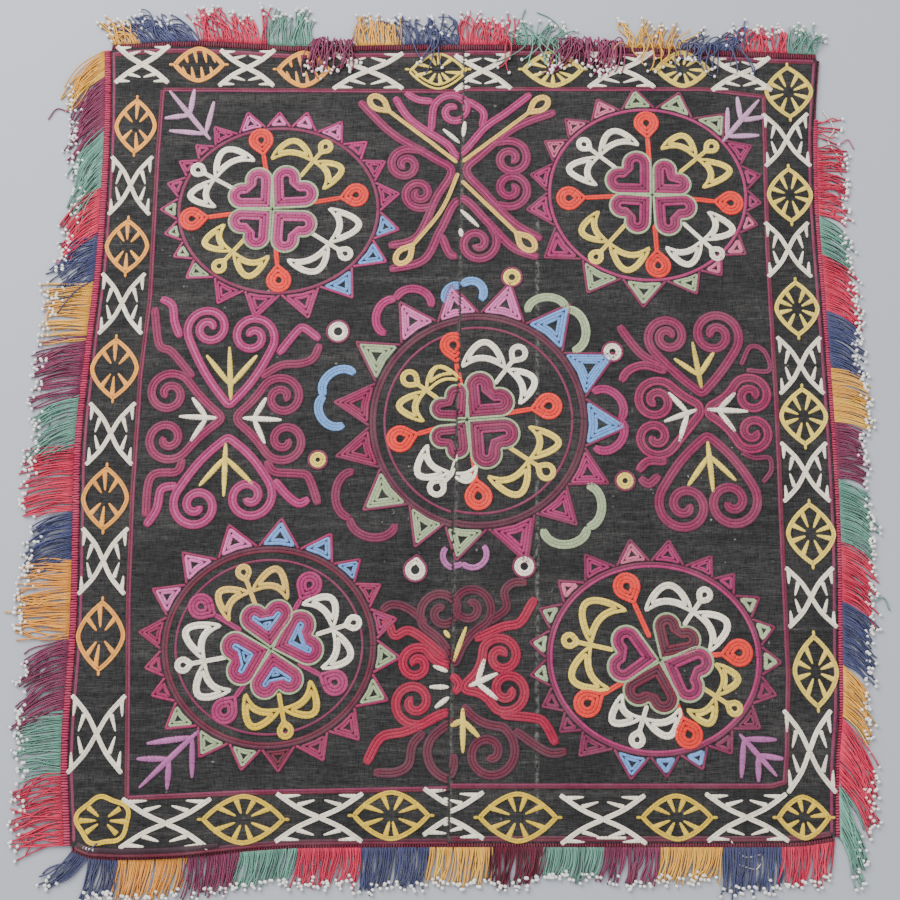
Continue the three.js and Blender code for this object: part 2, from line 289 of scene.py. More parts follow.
# One panel as a fine grid between two upright lines, then given its thickness
def makePanel(name, lineFrom, lineTo, insetFrom, insetTo):
    bpy.ops.mesh.primitive_grid_add(x_subdivisions=cloth["columns"], y_subdivisions=cloth["rows"], size=2)
    panel = bpy.context.object
    panel.name = name
    place = np.array([v.co for v in panel.data.vertices])
    across = (place[:, 0] + 1) / 2
    up = (place[:, 1] + 1) / 2
    y = np.zeros(len(place))
    for _ in range(6):
        low = readLine(lineFrom, "y", y) + insetFrom
        high = readLine(lineTo, "y", y) - insetTo
        x = low + (high - low) * across
        y = readLine(bottomEdge, "x", x) * (1 - up) + readLine(topEdge, "x", x) * up
    placed = np.stack([x, y, clothFace(x, y)], axis=1) * mm
    panel.data.vertices.foreach_set("co", placed.ravel())
    solid = panel.modifiers.new("thickness", "SOLIDIFY")
    solid.thickness = cloth["wall"] * mm
    solid.offset = -1
    bpy.ops.object.modifier_apply(modifier="thickness")
    bpy.ops.object.shade_smooth_by_angle(angle=math.radians(50))
    panel.select_set(False)
    return panel


# The worn fold and the seam as lines x = y * lean + at, in metres, and how strong each mark is
wear = dict(foldLean=0.0153, foldAt=0.0484, foldMiddle=-0.045, foldHalf=0.17, fold=0.5, seamLean=0.0196,
            seamAt=0.0032, dust=0.35, edges=(0.0016, 0.0003), lint=0.6)


# Worn dyed cotton: heathered threads both ways, faded streaks, lint, dust at the seam and a worn fold
def cottonFinish():
    finish = Finish("charcoalCotton", Roughness=0.95, Specular_IOR_Level=0.2)
    place = finish.objectPlace()
    x, y = finish.axes(place)
    warp = finish.noise(finish.objectPlace((2200, 240, 400)), 1, 2)
    weft = finish.noise(finish.objectPlace((200, 2300, 400)), 1, 2)
    patches = finish.noise(place, 20, 3, 0.6).clamped(0.4, 0.75)
    streaks = finish.noise(finish.objectPlace((10, 190, 60)), 1, 4, 0.6).clamped(0.5, 0.8)
    slubs = finish.noise(finish.objectPlace((60, 900, 60)), 1, 2).clamped(0.55, 0.8)
    threads = (warp * 0.42 + weft * 0.58).clamped(0.34, 0.68)
    colour = finish.mixed(threads, paint(0.085, 0.08, 0.085), paint(0.21, 0.205, 0.205))
    fade = (patches * 0.35 + streaks * 0.6 + slubs * 0.35) * threads
    colour = finish.mixed(fade, colour, paint(0.37, 0.365, 0.35))
    dash = finish.noise(finish.objectPlace((500, 330, 60)), 1, 3, 0.7).clamped(0.42, 0.72)
    fromFold = abs(x - y * wear["foldLean"] - wear["foldAt"])
    worn = fromFold.clamped(*wear["edges"]) * dash * (abs(y - wear["foldMiddle"]) < wear["foldHalf"])
    fromSeam = abs(x - y * wear["seamLean"] - wear["seamAt"])
    dust = fromSeam.clamped(*wear["edges"]) * dash * wear["dust"]
    colour = finish.mixed(worn * wear["fold"] + dust, colour, paint(0.58, 0.58, 0.55))
    lint = finish.noise(place, 300, 1).clamped(0.76, 0.8) * finish.noise(place, 9, 2).clamped(0.45, 0.7)
    finish.feed("Base Color", finish.mixed(lint * wear["lint"], colour, paint(0.66, 0.66, 0.64)))
    puckers = finish.noise(finish.objectPlace((50, 300, 60)), 1, 2)
    finish.bumped(warp * 0.5 + weft * 0.6 + puckers * 1.3, 0.6, 0.0009)
    return finish.data


cotton = cottonFinish()
clothLeft = makePanel("clothLeft", leftEdge, seamLine, 0, cloth["seamGap"] / 2)
clothRight = makePanel("clothRight", seamLine, rightEdge, cloth["seamGap"] / 2, 0)
for panel in (clothLeft, clothRight):
    panel.data.materials.append(cotton)

print("stage: threads and stitches")
# The dyed threads, in sRGB
dyes = dict(
    plum=(0.49, 0.165, 0.3), darkPlum=(0.35, 0.15, 0.22), magenta=(0.63, 0.18, 0.39),
    violet=(0.84, 0.43, 0.66), rose=(0.79, 0.4, 0.52), crimson=(0.61, 0.105, 0.235),
    cherry=(0.68, 0.11, 0.25), wine=(0.41, 0.115, 0.2), lilac=(0.79, 0.6, 0.73), orchid=(0.68, 0.38, 0.6),
    cream=(0.99, 0.945, 0.86), yellow=(0.94, 0.82, 0.36), mustard=(0.9, 0.75, 0.21),
    amber=(0.91, 0.75, 0.38), orange=(0.96, 0.65, 0.27), poppy=(0.92, 0.21, 0.16), sage=(0.64, 0.7, 0.54),
    blue=(0.43, 0.61, 0.84), rib=(0.7, 0.2, 0.35), gold=(0.98, 0.72, 0.3), red=(0.84, 0.21, 0.34),
    navy=(0.29, 0.31, 0.46), green=(0.45, 0.64, 0.57), aubergine=(0.54, 0.23, 0.36),
    berry=(0.58, 0.16, 0.33), mauve=(0.71, 0.28, 0.49), hem=(0.22, 0.13, 0.17), white=(0.93, 0.92, 0.9),
)
stitch = dict(pitch=1.9, height=0.9, sink=0.2, slip=1.3, keepClear=0.3, smallest=5.0)
# How high the rows stand: where two kinds cross, one of them is clearly on top
stand = dict(ring=0.66, innerRing=0.6, heart=0.9, heartStep=0.08, drop=1.05, dropStem=0.66, stem=0.8,
             leaf=1.15, spoon=1.2, borderLine=0.65, edge=0.6)
# Steps at which lines and outlines are read
fine = 0.45
outlineFine = 0.4


def towards(angle):
    return np.array([math.cos(math.radians(angle)), math.sin(math.radians(angle))])


def angleOf(vector):
    return math.degrees(math.atan2(vector[1], vector[0]))


def leftOf(direction):
    return np.array([-direction[1], direction[0]])


def leftNormals(points, closed=False):
    ahead = np.gradient(points, axis=0)
    if closed:
        ahead = np.roll(points, -1, axis=0) - np.roll(points, 1, axis=0)
    ahead = ahead / np.maximum(np.hypot(*ahead.T), 1e-9)[:, None]
    return np.stack([-ahead[:, 1], ahead[:, 0]], axis=1)


# The distance run along a line at each of its points
def runAlong(points):
    return np.append(0, np.cumsum(np.linalg.norm(np.diff(points, axis=0), axis=1)))


# A number of points spread evenly along a line
def spreadPoints(points, count):
    run = runAlong(points)
    at = np.linspace(0, run[-1], count)
    return np.stack([np.interp(at, run, column) for column in points.T], axis=1)


# Points spread evenly along a line, with none of the old ones kept but its ends
def evenly(points, step):
    points = np.asarray(points, float)
    return spreadPoints(points, max(3, round(runAlong(points)[-1] / step) + 1))


def joinedUp(outline):
    return np.concatenate([outline, outline[:1]])


# Sharp corners of an evenly spread line, found over two steps to each side
def sharpCorners(points):
    reach = 2
    if len(points) < 4 * reach:
        return []
    before = points[reach:-reach] - points[:-2 * reach]
    after = points[2 * reach:] - points[reach:-reach]
    turn = np.abs(np.angle((after[:, 0] + 1j * after[:, 1]) / (before[:, 0] + 1j * before[:, 1] + 1e-9)))
    found = []
    for i in np.flatnonzero(turn > 0.85):
        if turn[i] >= turn[max(0, i - 2 * reach):i + 2 * reach + 1].max():
            found.append(i + reach)
    return found


# The same line with whole stitches between one sharp corner and the next: two points for each stitch
def spreadAlong(points, step):
    points = evenly(points, fine)
    corners = [0, *sharpCorners(points), len(points) - 1]
    found = [points[:1]]
    for first, last in zip(corners, corners[1:]):
        part = points[first:last + 1]
        if len(part) > 1:
            steps = max(2, 2 * round(runAlong(part)[-1] / step / 2))
            found.append(spreadPoints(part, steps + 1)[1:])
    return np.concatenate(found)


# Faces along a run of rings with a few corners each, closed at both ends
def stripFaces(start, rings, corners):
    end = start + corners * (rings - 1)
    faces = []
    for a in range(start, end, corners):
        b = a + corners
        faces += [(a + i, b + i, b + (i + 1) % corners, a + (i + 1) % corners) for i in range(corners)]
    return [*faces, tuple(range(start, start + corners)), tuple(range(end + corners - 1, end - 1, -1))]


# Makes a mesh piece from corner places in millimetres, faces, a colour and a map place for each corner
def meshPiece(name, places, faces, colours, maps, finish):
    mesh = bpy.data.meshes.new(name)
    mesh.from_pydata((np.asarray(places) * mm).tolist(), [], faces)
    mesh.update()
    # The colour of each corner: the dye times any painted shade
    dyeAndPaintedShade = mesh.color_attributes.new(name="dyeAndPaintedShade", type="FLOAT_COLOR", domain="POINT")
    full = np.ones((len(places), 4), np.float32)
    full[:, :3] = colours
    dyeAndPaintedShade.data.foreach_set("color", full.ravel())
    corner = np.empty(len(mesh.loops), np.int32)
    mesh.loops.foreach_get("vertex_index", corner)
    layer = mesh.uv_layers.new(name="threadMap")
    layer.data.foreach_set("uv", np.asarray(maps, np.float32)[corner].ravel())
    mesh.polygons.foreach_set("use_smooth", np.ones(len(mesh.polygons), bool))
    mesh.materials.append(finish)
    piece = bpy.data.objects.new(name, mesh)
    bpy.context.scene.collection.objects.link(piece)
    return piece


# A sewn piece: rows of chain stitch that lie on the cloth, each stitch a loop that is wide at its end, with
# painted shade at the row edges and stitch necks
class Sewing:
    across = np.array([-1, -0.64, 0, 0.64, 1])
    rise = np.array([0.12, 0.94, 0.78, 0.94, 0.12])
    lead = np.array([0.25, 0.25, -0.45, 0.25, 0.25])

    def __init__(self, name):
        self.name = name
        self.places = []
        self.faces = []
        self.colours = []
        self.maps = []
        self.count = 0

    # One row along a line. A row that crosses the seam is cut there, and its left part slips a little.
    def row(self, points, thread, width, height=None, profile=None, only=None):
        points = np.asarray(points, float)
        side = points[:, 0] - readLine(seamLine, "y", points[:, 1])
        if np.all(side > stitch["keepClear"]) or np.all(side < -stitch["keepClear"]):
            if only is None or (only == "right") == (side[0] > 0):
                self.sew(points, thread, width, height, profile)
            return
        for name, inside in (("left", side < -stitch["keepClear"]), ("right", side > stitch["keepClear"])):
            if only not in (None, name):
                continue
            edges = np.flatnonzero(np.diff(np.concatenate([[0], inside.astype(int), [0]])))
            for first, last in zip(edges[::2], edges[1::2]):
                part = points[first:last]
                if len(part) > 3:
                    slip = np.array([0, -stitch["slip"]]) if name == "left" and only is None else 0
                    self.sew(part + slip, thread, width, height, profile)

    def sew(self, points, thread, width, height, profile):
        height = height or stitch["height"]
        step = stitch["pitch"] / 2
        path = spreadAlong(points, step)
        if len(path) < 3:
            return
        closed = np.hypot(*(path[0] - path[-1])) < 0.4
        normal = leftNormals(path)
        if closed:
            normal[0] = normal[-1] = leftNormals(np.stack([path[-2], path[0], path[1]]))[1]
        forward = np.stack([normal[:, 1], -normal[:, 0]], axis=1)
        count = len(path)
        t = np.linspace(0, 1, count)
        belly = (np.arange(count) % 2).astype(float)
        half = width / 2 * (1.13 + 0.1 * belly) * (1 + 0.03 * dice.standard_normal(count))
        tall = height * (0.82 + 0.18 * belly)
        if profile is not None:
            half = half * profile(t)
            tall = tall * (0.5 + 0.5 * profile(t))
        elif not closed:
            half[[0, -1]] *= 0.6
            tall[[0, -1]] *= 0.5
        lead = step * (1 - 0.9 * (t == 0) - 0.9 * (t == 1))
        flat = (path[:, None, :] + normal[:, None, :] * (half[:, None] * self.across)[:, :, None]
                + forward[:, None, :] * (lead[:, None] * self.lead)[:, :, None])
        up = clothFace(flat[..., 0], flat[..., 1]) - stitch["sink"] + tall[:, None] * self.rise
        self.places.append(np.concatenate([flat, up[..., None]], axis=2).reshape(-1, 3))
        base = np.array(linear(dyes[thread]))
        tint = (1 + 0.06 * dice.standard_normal()) * (1 + 0.08 * dice.standard_normal(count))
        # Painted shade: each row darker at its two edges and a little darker down its middle groove, and each
        # stitch's narrow neck darker than its wide end
        paintedShade = tint[:, None] * (0.9 + 0.1 * belly[:, None]) * np.array([0.72, 1, 0.88, 1, 0.72])
        colour = np.clip(paintedShade[:, :, None] * base, 0, 1)
        self.colours.append(colour.reshape(-1, 3))
        u = np.repeat(np.arange(count) / 2, 5)
        v = np.tile((self.across + 1) / 2, count)
        self.maps.append(np.stack([u, v], axis=1))
        self.faces += stripFaces(self.count, count, 5)
        self.count += 5 * count

    # Rows side by side along one line, that draw together at its ends: plies are (thread, width)
    # from the right side to the left
    def band(self, points, plies, only=None, taper=0.7, height=None):
        points = evenly(points, fine)
        normal = leftNormals(points)
        total = sum(width for _, width in plies)
        closed = np.hypot(*(points[0] - points[-1])) < 0.6
        fromEnd = np.minimum(np.arange(len(points)), np.arange(len(points))[::-1]) * fine
        share = np.clip(fromEnd / (total * taper + 0.01), 0, 1)
        squeeze = np.ones(len(points)) if closed or taper == 0 else 0.35 + 0.65 * np.sin(share * np.pi / 2)
        run = -total / 2
        for thread, width in plies:
            offset = (run + width / 2) * squeeze
            self.row(points + normal * offset[:, None], thread, width, height, only=only)
            run += width

    # Rows that follow an outline from its edge inwards, the first one moved out by "proud" to keep the points
    def nest(self, outline, plies, proud=0.0, only=None, height=None):
        outline = evenly(joinedUp(outline), outlineFine)[:-1]
        depth = -proud
        for thread, width in plies:
            ring = insetOutline(outline, depth + width / 2)
            if ring is None:
                return
            self.row(ring, thread, width, height, only=only)
            depth += width

    # A leaf: one wide stitch between two points, thickest in the middle
    def leaf(self, start, end, thread, width=2.6):
        line = evenly([start, end], fine)
        self.row(line, thread, width, stand["leaf"], lambda t: 0.3 + 0.7 * np.sin(np.pi * t ** 0.85) ** 0.6)

    # A barb: one wide stitch that comes to a point at its far end
    def barb(self, start, end, thread, width, only=None):
        line = evenly([start, end], fine)
        self.row(line, thread, width, profile=lambda t: 0.16 + 0.84 * (1 - t) ** 0.55, only=only)

    def finish(self, material):
        piece = meshPiece(self.name, np.concatenate(self.places), self.faces, np.concatenate(self.colours),
                          np.concatenate(self.maps), material)
        print("  ", self.name, len(piece.data.polygons) * 2, "triangles")
        return piece


# A smooth line through a few points
def flowing(points, step=0.5):
    points = np.asarray(points, float)
    ends = np.concatenate([[2 * points[0] - points[1]], points, [2 * points[-1] - points[-2]]])
    found = []
    for a, b, c, d in zip(ends, ends[1:], ends[2:], ends[3:]):
        count = max(3, math.ceil(np.hypot(*(c - b)) / step))
        t = np.linspace(0, 1, count, endpoint=False)[:, None]
        found.append(0.5 * (2 * b + (c - a) * t + (2 * a - 5 * b + 4 * c - d) * t ** 2
                            + (3 * b - a - 3 * c + d) * t ** 3))
    return np.concatenate([*found, points[-1:]])


# The outline moved inwards by a depth, or None where too little is left for a row
def insetOutline(outline, depth):
    if depth < 0.1:
        return joinedUp(outline)
    area = np.sum(outline[:, 0] * np.roll(outline[:, 1], -1) - outline[:, 1] * np.roll(outline[:, 0], -1))
    moved = outline + leftNormals(outline, closed=True) * (depth if area > 0 else -depth)
    away = np.linalg.norm(moved[:, None] - outline[None], axis=2).min(axis=1)
    kept = moved[away > depth * 0.98 - 0.02]
    if len(kept) < 8 or runAlong(joinedUp(kept))[-1] < stitch["smallest"]:
        return None
    return evenly(joinedUp(kept), outlineFine)


def circle(centre, radii, count=72):
    angle = np.linspace(0, 2 * np.pi, count, endpoint=False)
    return np.stack([centre[0] + radii[0] * np.cos(angle), centre[1] + radii[1] * np.sin(angle)], axis=1)


# A heart with its point at a place and its axis at an angle: two round lobes and straight sides
def heartOutline(point, angle, size):
    out, up, radius = 0.25 * size, 0.66 * size, 0.295 * size
    lean = math.atan2(out, up) + math.asin(radius / math.hypot(out, up))
    sweep = np.linspace(-lean, math.pi - math.acos(out / radius), 26)
    lobe = np.stack([out + radius * np.cos(sweep), up + radius * np.sin(sweep)], axis=1)
    local = np.concatenate([[[0, 0]], lobe, lobe[::-1] * [-1, 1]])
    axis = towards(angle)
    return np.asarray(point) - local[:, :1] * leftOf(axis) + local[:, 1:] * axis


# A drop with a round end at a centre and its point towards another place
def dropOutline(centre, radius, target, point=1.45):
    away = np.asarray(centre, float) - target
    axis = angleOf(away)
    half = math.degrees(math.acos(1 / point))
    sweep = np.radians(np.linspace(axis - 180 + half, axis + 180 - half, 40))
    arc = np.stack([centre[0] + radius * np.cos(sweep), centre[1] + radius * np.sin(sweep)], axis=1)
    tip = np.asarray(centre) - towards(axis) * radius * point
    return np.concatenate([arc, [tip]])


# A horn: a straight or bowed arm that runs into a spiral around an eye
def hornPath(start, eye, radius, turns, left, bow=0.0):
    start = np.asarray(start, float)
    eye = np.asarray(eye, float)
    away = eye - start
    distance = max(np.hypot(*away), radius * 1.02)
    side = 1 if left else -1
    heading = math.atan2(away[1], away[0]) - side * math.asin(radius / distance)
    armLength = math.sqrt(distance ** 2 - radius ** 2)
    direction = np.array([math.cos(heading), math.sin(heading)])
    t = np.linspace(0, 1, max(4, round(armLength / 0.5)))[:, None]
    arm = start + direction * armLength * t + leftOf(direction) * bow * np.sin(np.pi * t)
    first = math.atan2(*(arm[-1] - eye)[::-1])
    s = np.linspace(0, 1, round(40 * turns))[1:]
    angle = first + side * 2 * np.pi * turns * s
    size = radius * (1 - 0.87 * s ** 0.95)
    coil = eye + np.stack([np.cos(angle), np.sin(angle)], axis=1) * size[:, None]
    return np.concatenate([arm, coil])


# The same line with its corners rounded off
def rounded(points, reach):
    points = evenly(points, fine)
    steps = round(reach / fine)
    padded = np.pad(points, ((steps, steps), (0, 0)), "edge")
    kernel = np.ones(2 * steps + 1) / (2 * steps + 1)
    return np.stack([np.convolve(column, kernel, "valid") for column in padded.T], axis=1)


def silkFinish(name):
    finish = Finish(name, Roughness=0.6, Specular_IOR_Level=0.22, Sheen_Weight=0.03)
    u, v = finish.axes(finish.node("ShaderNodeUVMap", {"uv_map": "threadMap"}, {}))
    ply = ((u * 4 + abs(v - 0.5) * 3) * math.pi * 2).sine()
    fade = finish.noise(finish.objectPlace(), 55, 3, 0.6).clamped(0.35, 0.7)
    pale = finish.mixed(fade * 0.06, finish.dyeAndPaintedShade(), paint(0.80, 0.74, 0.72))
    fuzz = finish.noise(finish.objectPlace(), 1500, 2).clamped(0.3, 0.7)
    finish.feed("Base Color", finish.mixed(fuzz * 0.22, pale, (0.5, 0.5, 0.5, 1), "MULTIPLY"))
    finish.feed("Roughness", fade * 0.2 + 0.5)
    finish.bumped(ply * 0.5 + fuzz, 0.35, 0.00025)
    return finish.data


silk = silkFinish("chainStitchSilk")
sewn = []

print("stage: medallions")
# Spikes are (thread, the angles of their points round the ring), hearts (angle, length, rows), drops (x, y,
# and the side of the seam that one is kept to) and sprays (x, y, thread, chord and bulge of the crescent on
# the left of the stem and of the one on its right, and for one spray the angle that its bud leans by)
medallions = [
    dict(name="medallionTopLeft", centre=(-101.4, 125.9), radii=(58.3, 51.4), rings=[("plum", 1.9)],
         spikeHeight=0.72, edge="magenta", clover=(-105, 126), dropRadius=7.4,
         spikes=[("violet", [108, 91, 76, 57]), ("magenta", [40, 26, 8]), ("blue", [-10, -27, -51]),
         ("magenta", [-74, -100, -120]), ("sage", [-141, -154, -167, -180]),
         ("magenta", [-194, -207, -219, -233])],
         hearts=[(135, 27.5, "light"), (48, 28.5, "light"), (-47, 28, "light"), (-137, 26.5, "light")],
         drops=[(-113, 170), (-56, 135), (-100, 82), (-152, 120)],
         sprays=[(-82, 156, "yellow", 25, 14.5, 19, 16.5), (-139, 145, "cream", 18, 17, 26, 16),
         (-72, 105, "cream", 22, 20, 26, 15), (-127, 100, "yellow", 21.5, 16, 18, 16.5)]),
    dict(name="medallionTopRight", centre=(115.4, 135.8), radii=(57.6, 53.6), rings=[("magenta", 1.8)],
         spikeHeight=0.64, edge="plum", clover=(118, 135), dropRadius=7.5,
         spikes=[("rose", [115]), ("sage", [95, 72, 47]), ("magenta", [26, 10, -5]),
         ("rose", [-17, -34, -51]), ("sage", [-67, -94, -121]), ("magenta", [-147, -172, -190]),
         ("rose", [-209, -225])],
         hearts=[(134, 29, "deep"), (43, 24, "deep"), (-43, 27, "deep"), (-139, 26, "deep")],
         drops=[(116, 181), (164, 130), (120, 91), (69, 133)],
         sprays=[(88, 159.5, "cream", 19, 19.5, 24.5, 15), (145, 158, "yellow", 22, 14, 19, 20),
         (146, 107, "cream", 18.5, 18.5, 22, 15), (92, 105.5, "yellow", 24, 17.5, 20.5, 15.5)]),
    dict(name="medallionCentre", centre=(15.2, -0.6), radii=(59.6, 60.6), rings=[("darkPlum", 1.9),
         ("darkPlum", 1.9)], innerRing=(-6.6, "plum", 1.4), spikeHeight=0.86, edge="plum", clover=(9, -1),
         budRadius=5.5, dropRadius=7.8,
         spikes=[("violet", [123, 101, 77]), ("blue", [52, 26, -3]), ("magenta", [-27, -48, -72]),
         ("sage", [-99, -116, -141]), ("berry", [-165, -187]), ("sage", [-213])],
         hearts=[(50, 29, "full"), (-41, 30.5, "full"), (132, 22.5, "fullSmall"), (-129, 23, "fullSmall")],
         drops=[(1, 43, "left"), (55, 7), (15, -45), (-29, -12)],
         sprays=[(-14, 16, "yellow", 18.5, 17, 21, 13.5), (31, 28.5, "cream", 25.5, 17.5, 22, 15),
         (43, -24, "yellow", 19.5, 19, 25, 18), (0, -31, "cream", 15, 9, 21, 17, -26)]),
    dict(name="medallionBottomLeft", centre=(-99.2, -127.4), radii=(56.6, 52.8), rings=[("darkPlum", 1.8),
         ("wine", 1.6)], innerRing=(-5.9, "plum", 1.3), spikeHeight=0.72, edge="berry", clover=(-98, -129),
         dropRadius=7.2, dropThread="magenta",
         spikes=[("blue", [86, 62, 44]), ("berry", [29]), ("magenta", [12]), ("sage", [-5, -24]),
         ("berry", [-45, -63]), ("wine", [-84]), ("sage", [-101, -121, -141]),
         ("berry", [-157, -170, -186]), ("violet", [-205.5, -226, -250])],
         hearts=[(19, 28, "blueCore"), (100, 26.5, "blueCore"), (196, 27, "blueCore"),
         (282, 26.5, "blueCore")],
         drops=[(-137, -106), (-78, -94), (-63, -147), (-122, -162)],
         sprays=[(-110, -98.5, "amber", 19.5, 16, 21, 17.5),
         (-133.5, -135.5, "cream", 21.5, 16.5, 21, 18.5), (-91.5, -160.5, "mustard", 21.5, 16, 21.5, 16.5),
         (-65, -118.5, "cream", 22, 14.5, 22, 15.5)]),
    dict(name="medallionBottomRight", centre=(110, -133.7), radii=(56.8, 50.6), rings=[("plum", 1.6),
         ("magenta", 1.5)], spikeHeight=0.68, edge="plum", clover=(113, -135), stemFrom=0.3, dropRadius=7.6,
         spikes=[("rose", [100]), ("magenta", [81, 59, 45]), ("sage", [29, 14, -2]),
         ("plum", [-17, -34, -52]), ("blue", [-68, -86, -103]), ("plum", [-129, -143, -157]),
         ("sage", [-172, -187, -203]), ("rose", [-219]), ("magenta", [-237])],
         hearts=[(56, 25.5, "maroon"), (-23, 28.5, "deep"), (-107, 28, "maroon"), (170, 28.5, "deep")],
         drops=[(96, -95), (156, -131), (127, -174.5), (73, -158)],
         sprays=[(131.5, -109.5, "cream", 26, 16.5, 23, 17.5),
         (142, -154, "yellow", 17.5, 14.5, 17.5, 13.5), (103, -165.5, "cream", 21, 14.5, 17, 16),
         (76, -127, "yellow", 25.5, 18.5, 27.5, 20)]),
]
heartRows = dict(
    light=[("sage", 1.4), ("mauve", 1.9), ("magenta", 1.9), ("mauve", 1.9)],
    deep=[("sage", 1.4), ("magenta", 1.9), ("plum", 1.9), ("magenta", 1.9)],
    full=[("sage", 1.3), ("plum", 1.8), ("berry", 1.8), ("plum", 1.8), ("magenta", 1.6)],
    fullSmall=[("sage", 1.3), ("plum", 1.7), ("berry", 1.7), ("plum", 1.6)],
    blueCore=[("sage", 1.2), ("magenta", 1.8), ("berry", 1.8), ("magenta", 1.7), ("blue", 1.5),
              ("blue", 1.2)],
    maroon=[("sage", 1.3), ("wine", 1.8), ("darkPlum", 1.8), ("wine", 1.8)],
)
spray = dict(spread=126, row=1.85, bud=12.2, budRadius=4.6, stemRow=1.25, budRow=1.6)
drop = dict(thread="poppy", row=1.9, stemRow=1.4, stemFrom=0.42, stemTo=1.25)


# One crescent between a node and its tip: a full outer curve and a shallow inner one
def sewCrescent(sewing, node, angle, chord, bulge, side, thread):
    direction = towards(angle)
    outwards = leftOf(direction) * -side
    t = np.linspace(0, 1, 44)[:, None]
    outer = node + direction * chord * t + outwards * bulge * np.sin(np.pi * t ** 0.94) ** 0.62
    inner = node + direction * chord * t + outwards * bulge * 0.3 * np.sin(np.pi * t ** 1.1) ** 0.9
    sewing.nest(np.concatenate([outer, inner[-2:0:-1]]), [(thread, spray["row"])] * 2, proud=0.45)


# Two crescents and a bud on a stem that comes out of the notch of a heart
def sewSpray(sewing, place, root, sizes, thread, budRadius):
    node = np.asarray(place, float)
    outward = angleOf(node - root)
    sewCrescent(sewing, node, outward + spray["spread"], *sizes[:2], 1, thread)
    sewCrescent(sewing, node, outward - spray["spread"], *sizes[2:4], -1, thread)
    outward = outward + sum(sizes[4:])
    bud = node + towards(outward) * spray["bud"]
    stem = [root, node, bud - towards(outward) * 3]
    sewing.band(stem, [(thread, spray["stemRow"])] * 2, height=stand["stem"])
    sewing.nest(dropOutline(bud, budRadius, node), [(thread, spray["budRow"])] * 2)


# The triangles that stand side by side around a ring, each from halfway to its neighbours
def sewSpikes(sewing, m):
    points = [(colour, angle) for colour, angles in m["spikes"] for angle in angles]
    angles = np.array([angle for _, angle in points], float)
    centre = np.array(m["centre"], float)
    radii = np.array(m["radii"], float)
    ringWidth = sum(width for _, width in m["rings"]) / 2

    def ringPoint(angle, out):
        direction = towards(angle)
        return centre + direction * (1 / np.hypot(*(direction / radii)) + out)

    for i, (colour, angle) in enumerate(points):
        before = angles[i - 1] if i else angles[-1] + 360
        after = angles[i + 1] if i + 1 < len(angles) else angles[0] - 360
        a = ringPoint((before + angle) / 2 - 0.4, ringWidth + 0.3)
        b = ringPoint((after + angle) / 2 + 0.4, ringWidth + 0.3)
        base = np.hypot(*(a - b))
        height = base * m["spikeHeight"] * (1 + dice.uniform(-0.06, 0.06))
        tip = ringPoint(angle, ringWidth + height)
        low = ringPoint(angle, ringWidth + 0.4)
        inner = base * height / (base + 2 * math.hypot(base / 2, height))
        sewing.row(evenly([a, tip, b], fine), m["edge"], 1.5)
        thickness = inner * 0.72 - 0.6
        count = max(1, round(thickness / 1.5))
        outline = evenly(joinedUp(np.array([a, tip, b, low])), outlineFine)[:-1]
        ring = insetOutline(outline, 0.6)
        if ring is not None:
            sewing.nest(ring[:-1], [(colour, thickness / count)] * count)


for m in medallions:
    sewing = Sewing(m["name"])
    sewing.band(joinedUp(circle(m["centre"], m["radii"], 240)), m["rings"], height=stand["ring"])
    if "innerRing" in m:
        grow, thread, width = m["innerRing"]
        inner = circle(m["centre"], np.array(m["radii"]) + grow, 240)
        sewing.row(joinedUp(inner), thread, width, stand["innerRing"])
    sewSpikes(sewing, m)
    clover = np.array(m["clover"], float)
    for i, (angle, size, rows) in enumerate(m["hearts"]):
        outline = heartOutline(clover + towards(angle) * 0.6, angle, size)
        sewing.nest(outline, heartRows[rows], 0.3, height=stand["heart"] + stand["heartStep"] * i)
    thread = m.get("dropThread", drop["thread"])
    for x, y, *kept in m["drops"]:
        outline = dropOutline((x, y), m["dropRadius"], clover)
        only = kept[0] if kept else None
        sewing.nest(outline, [(thread, drop["row"])] * 3, only=only, height=stand["drop"])
        away = np.array([x, y]) - clover
        stemEnd = clover + away * (1 - m["dropRadius"] * drop["stemTo"] / np.hypot(*away))
        stemStart = clover + away * m.get("stemFrom", drop["stemFrom"])
        sewing.band([stemStart, stemEnd], [(thread, drop["stemRow"])] * 2, height=stand["dropStem"])
    for x, y, thread, *sizes in m["sprays"]:
        outward = towards(angleOf(np.array([x, y], float) - clover))
        heart = max(m["hearts"], key=lambda other: np.dot(towards(other[0]), outward))
        root = clover + outward * heart[1] * 0.9
        sewSpray(sewing, (x, y), root, sizes, thread, m.get("budRadius", spray["budRadius"]))
    sewn.append(sewing.finish(silk))

print("stage: scroll crosses")
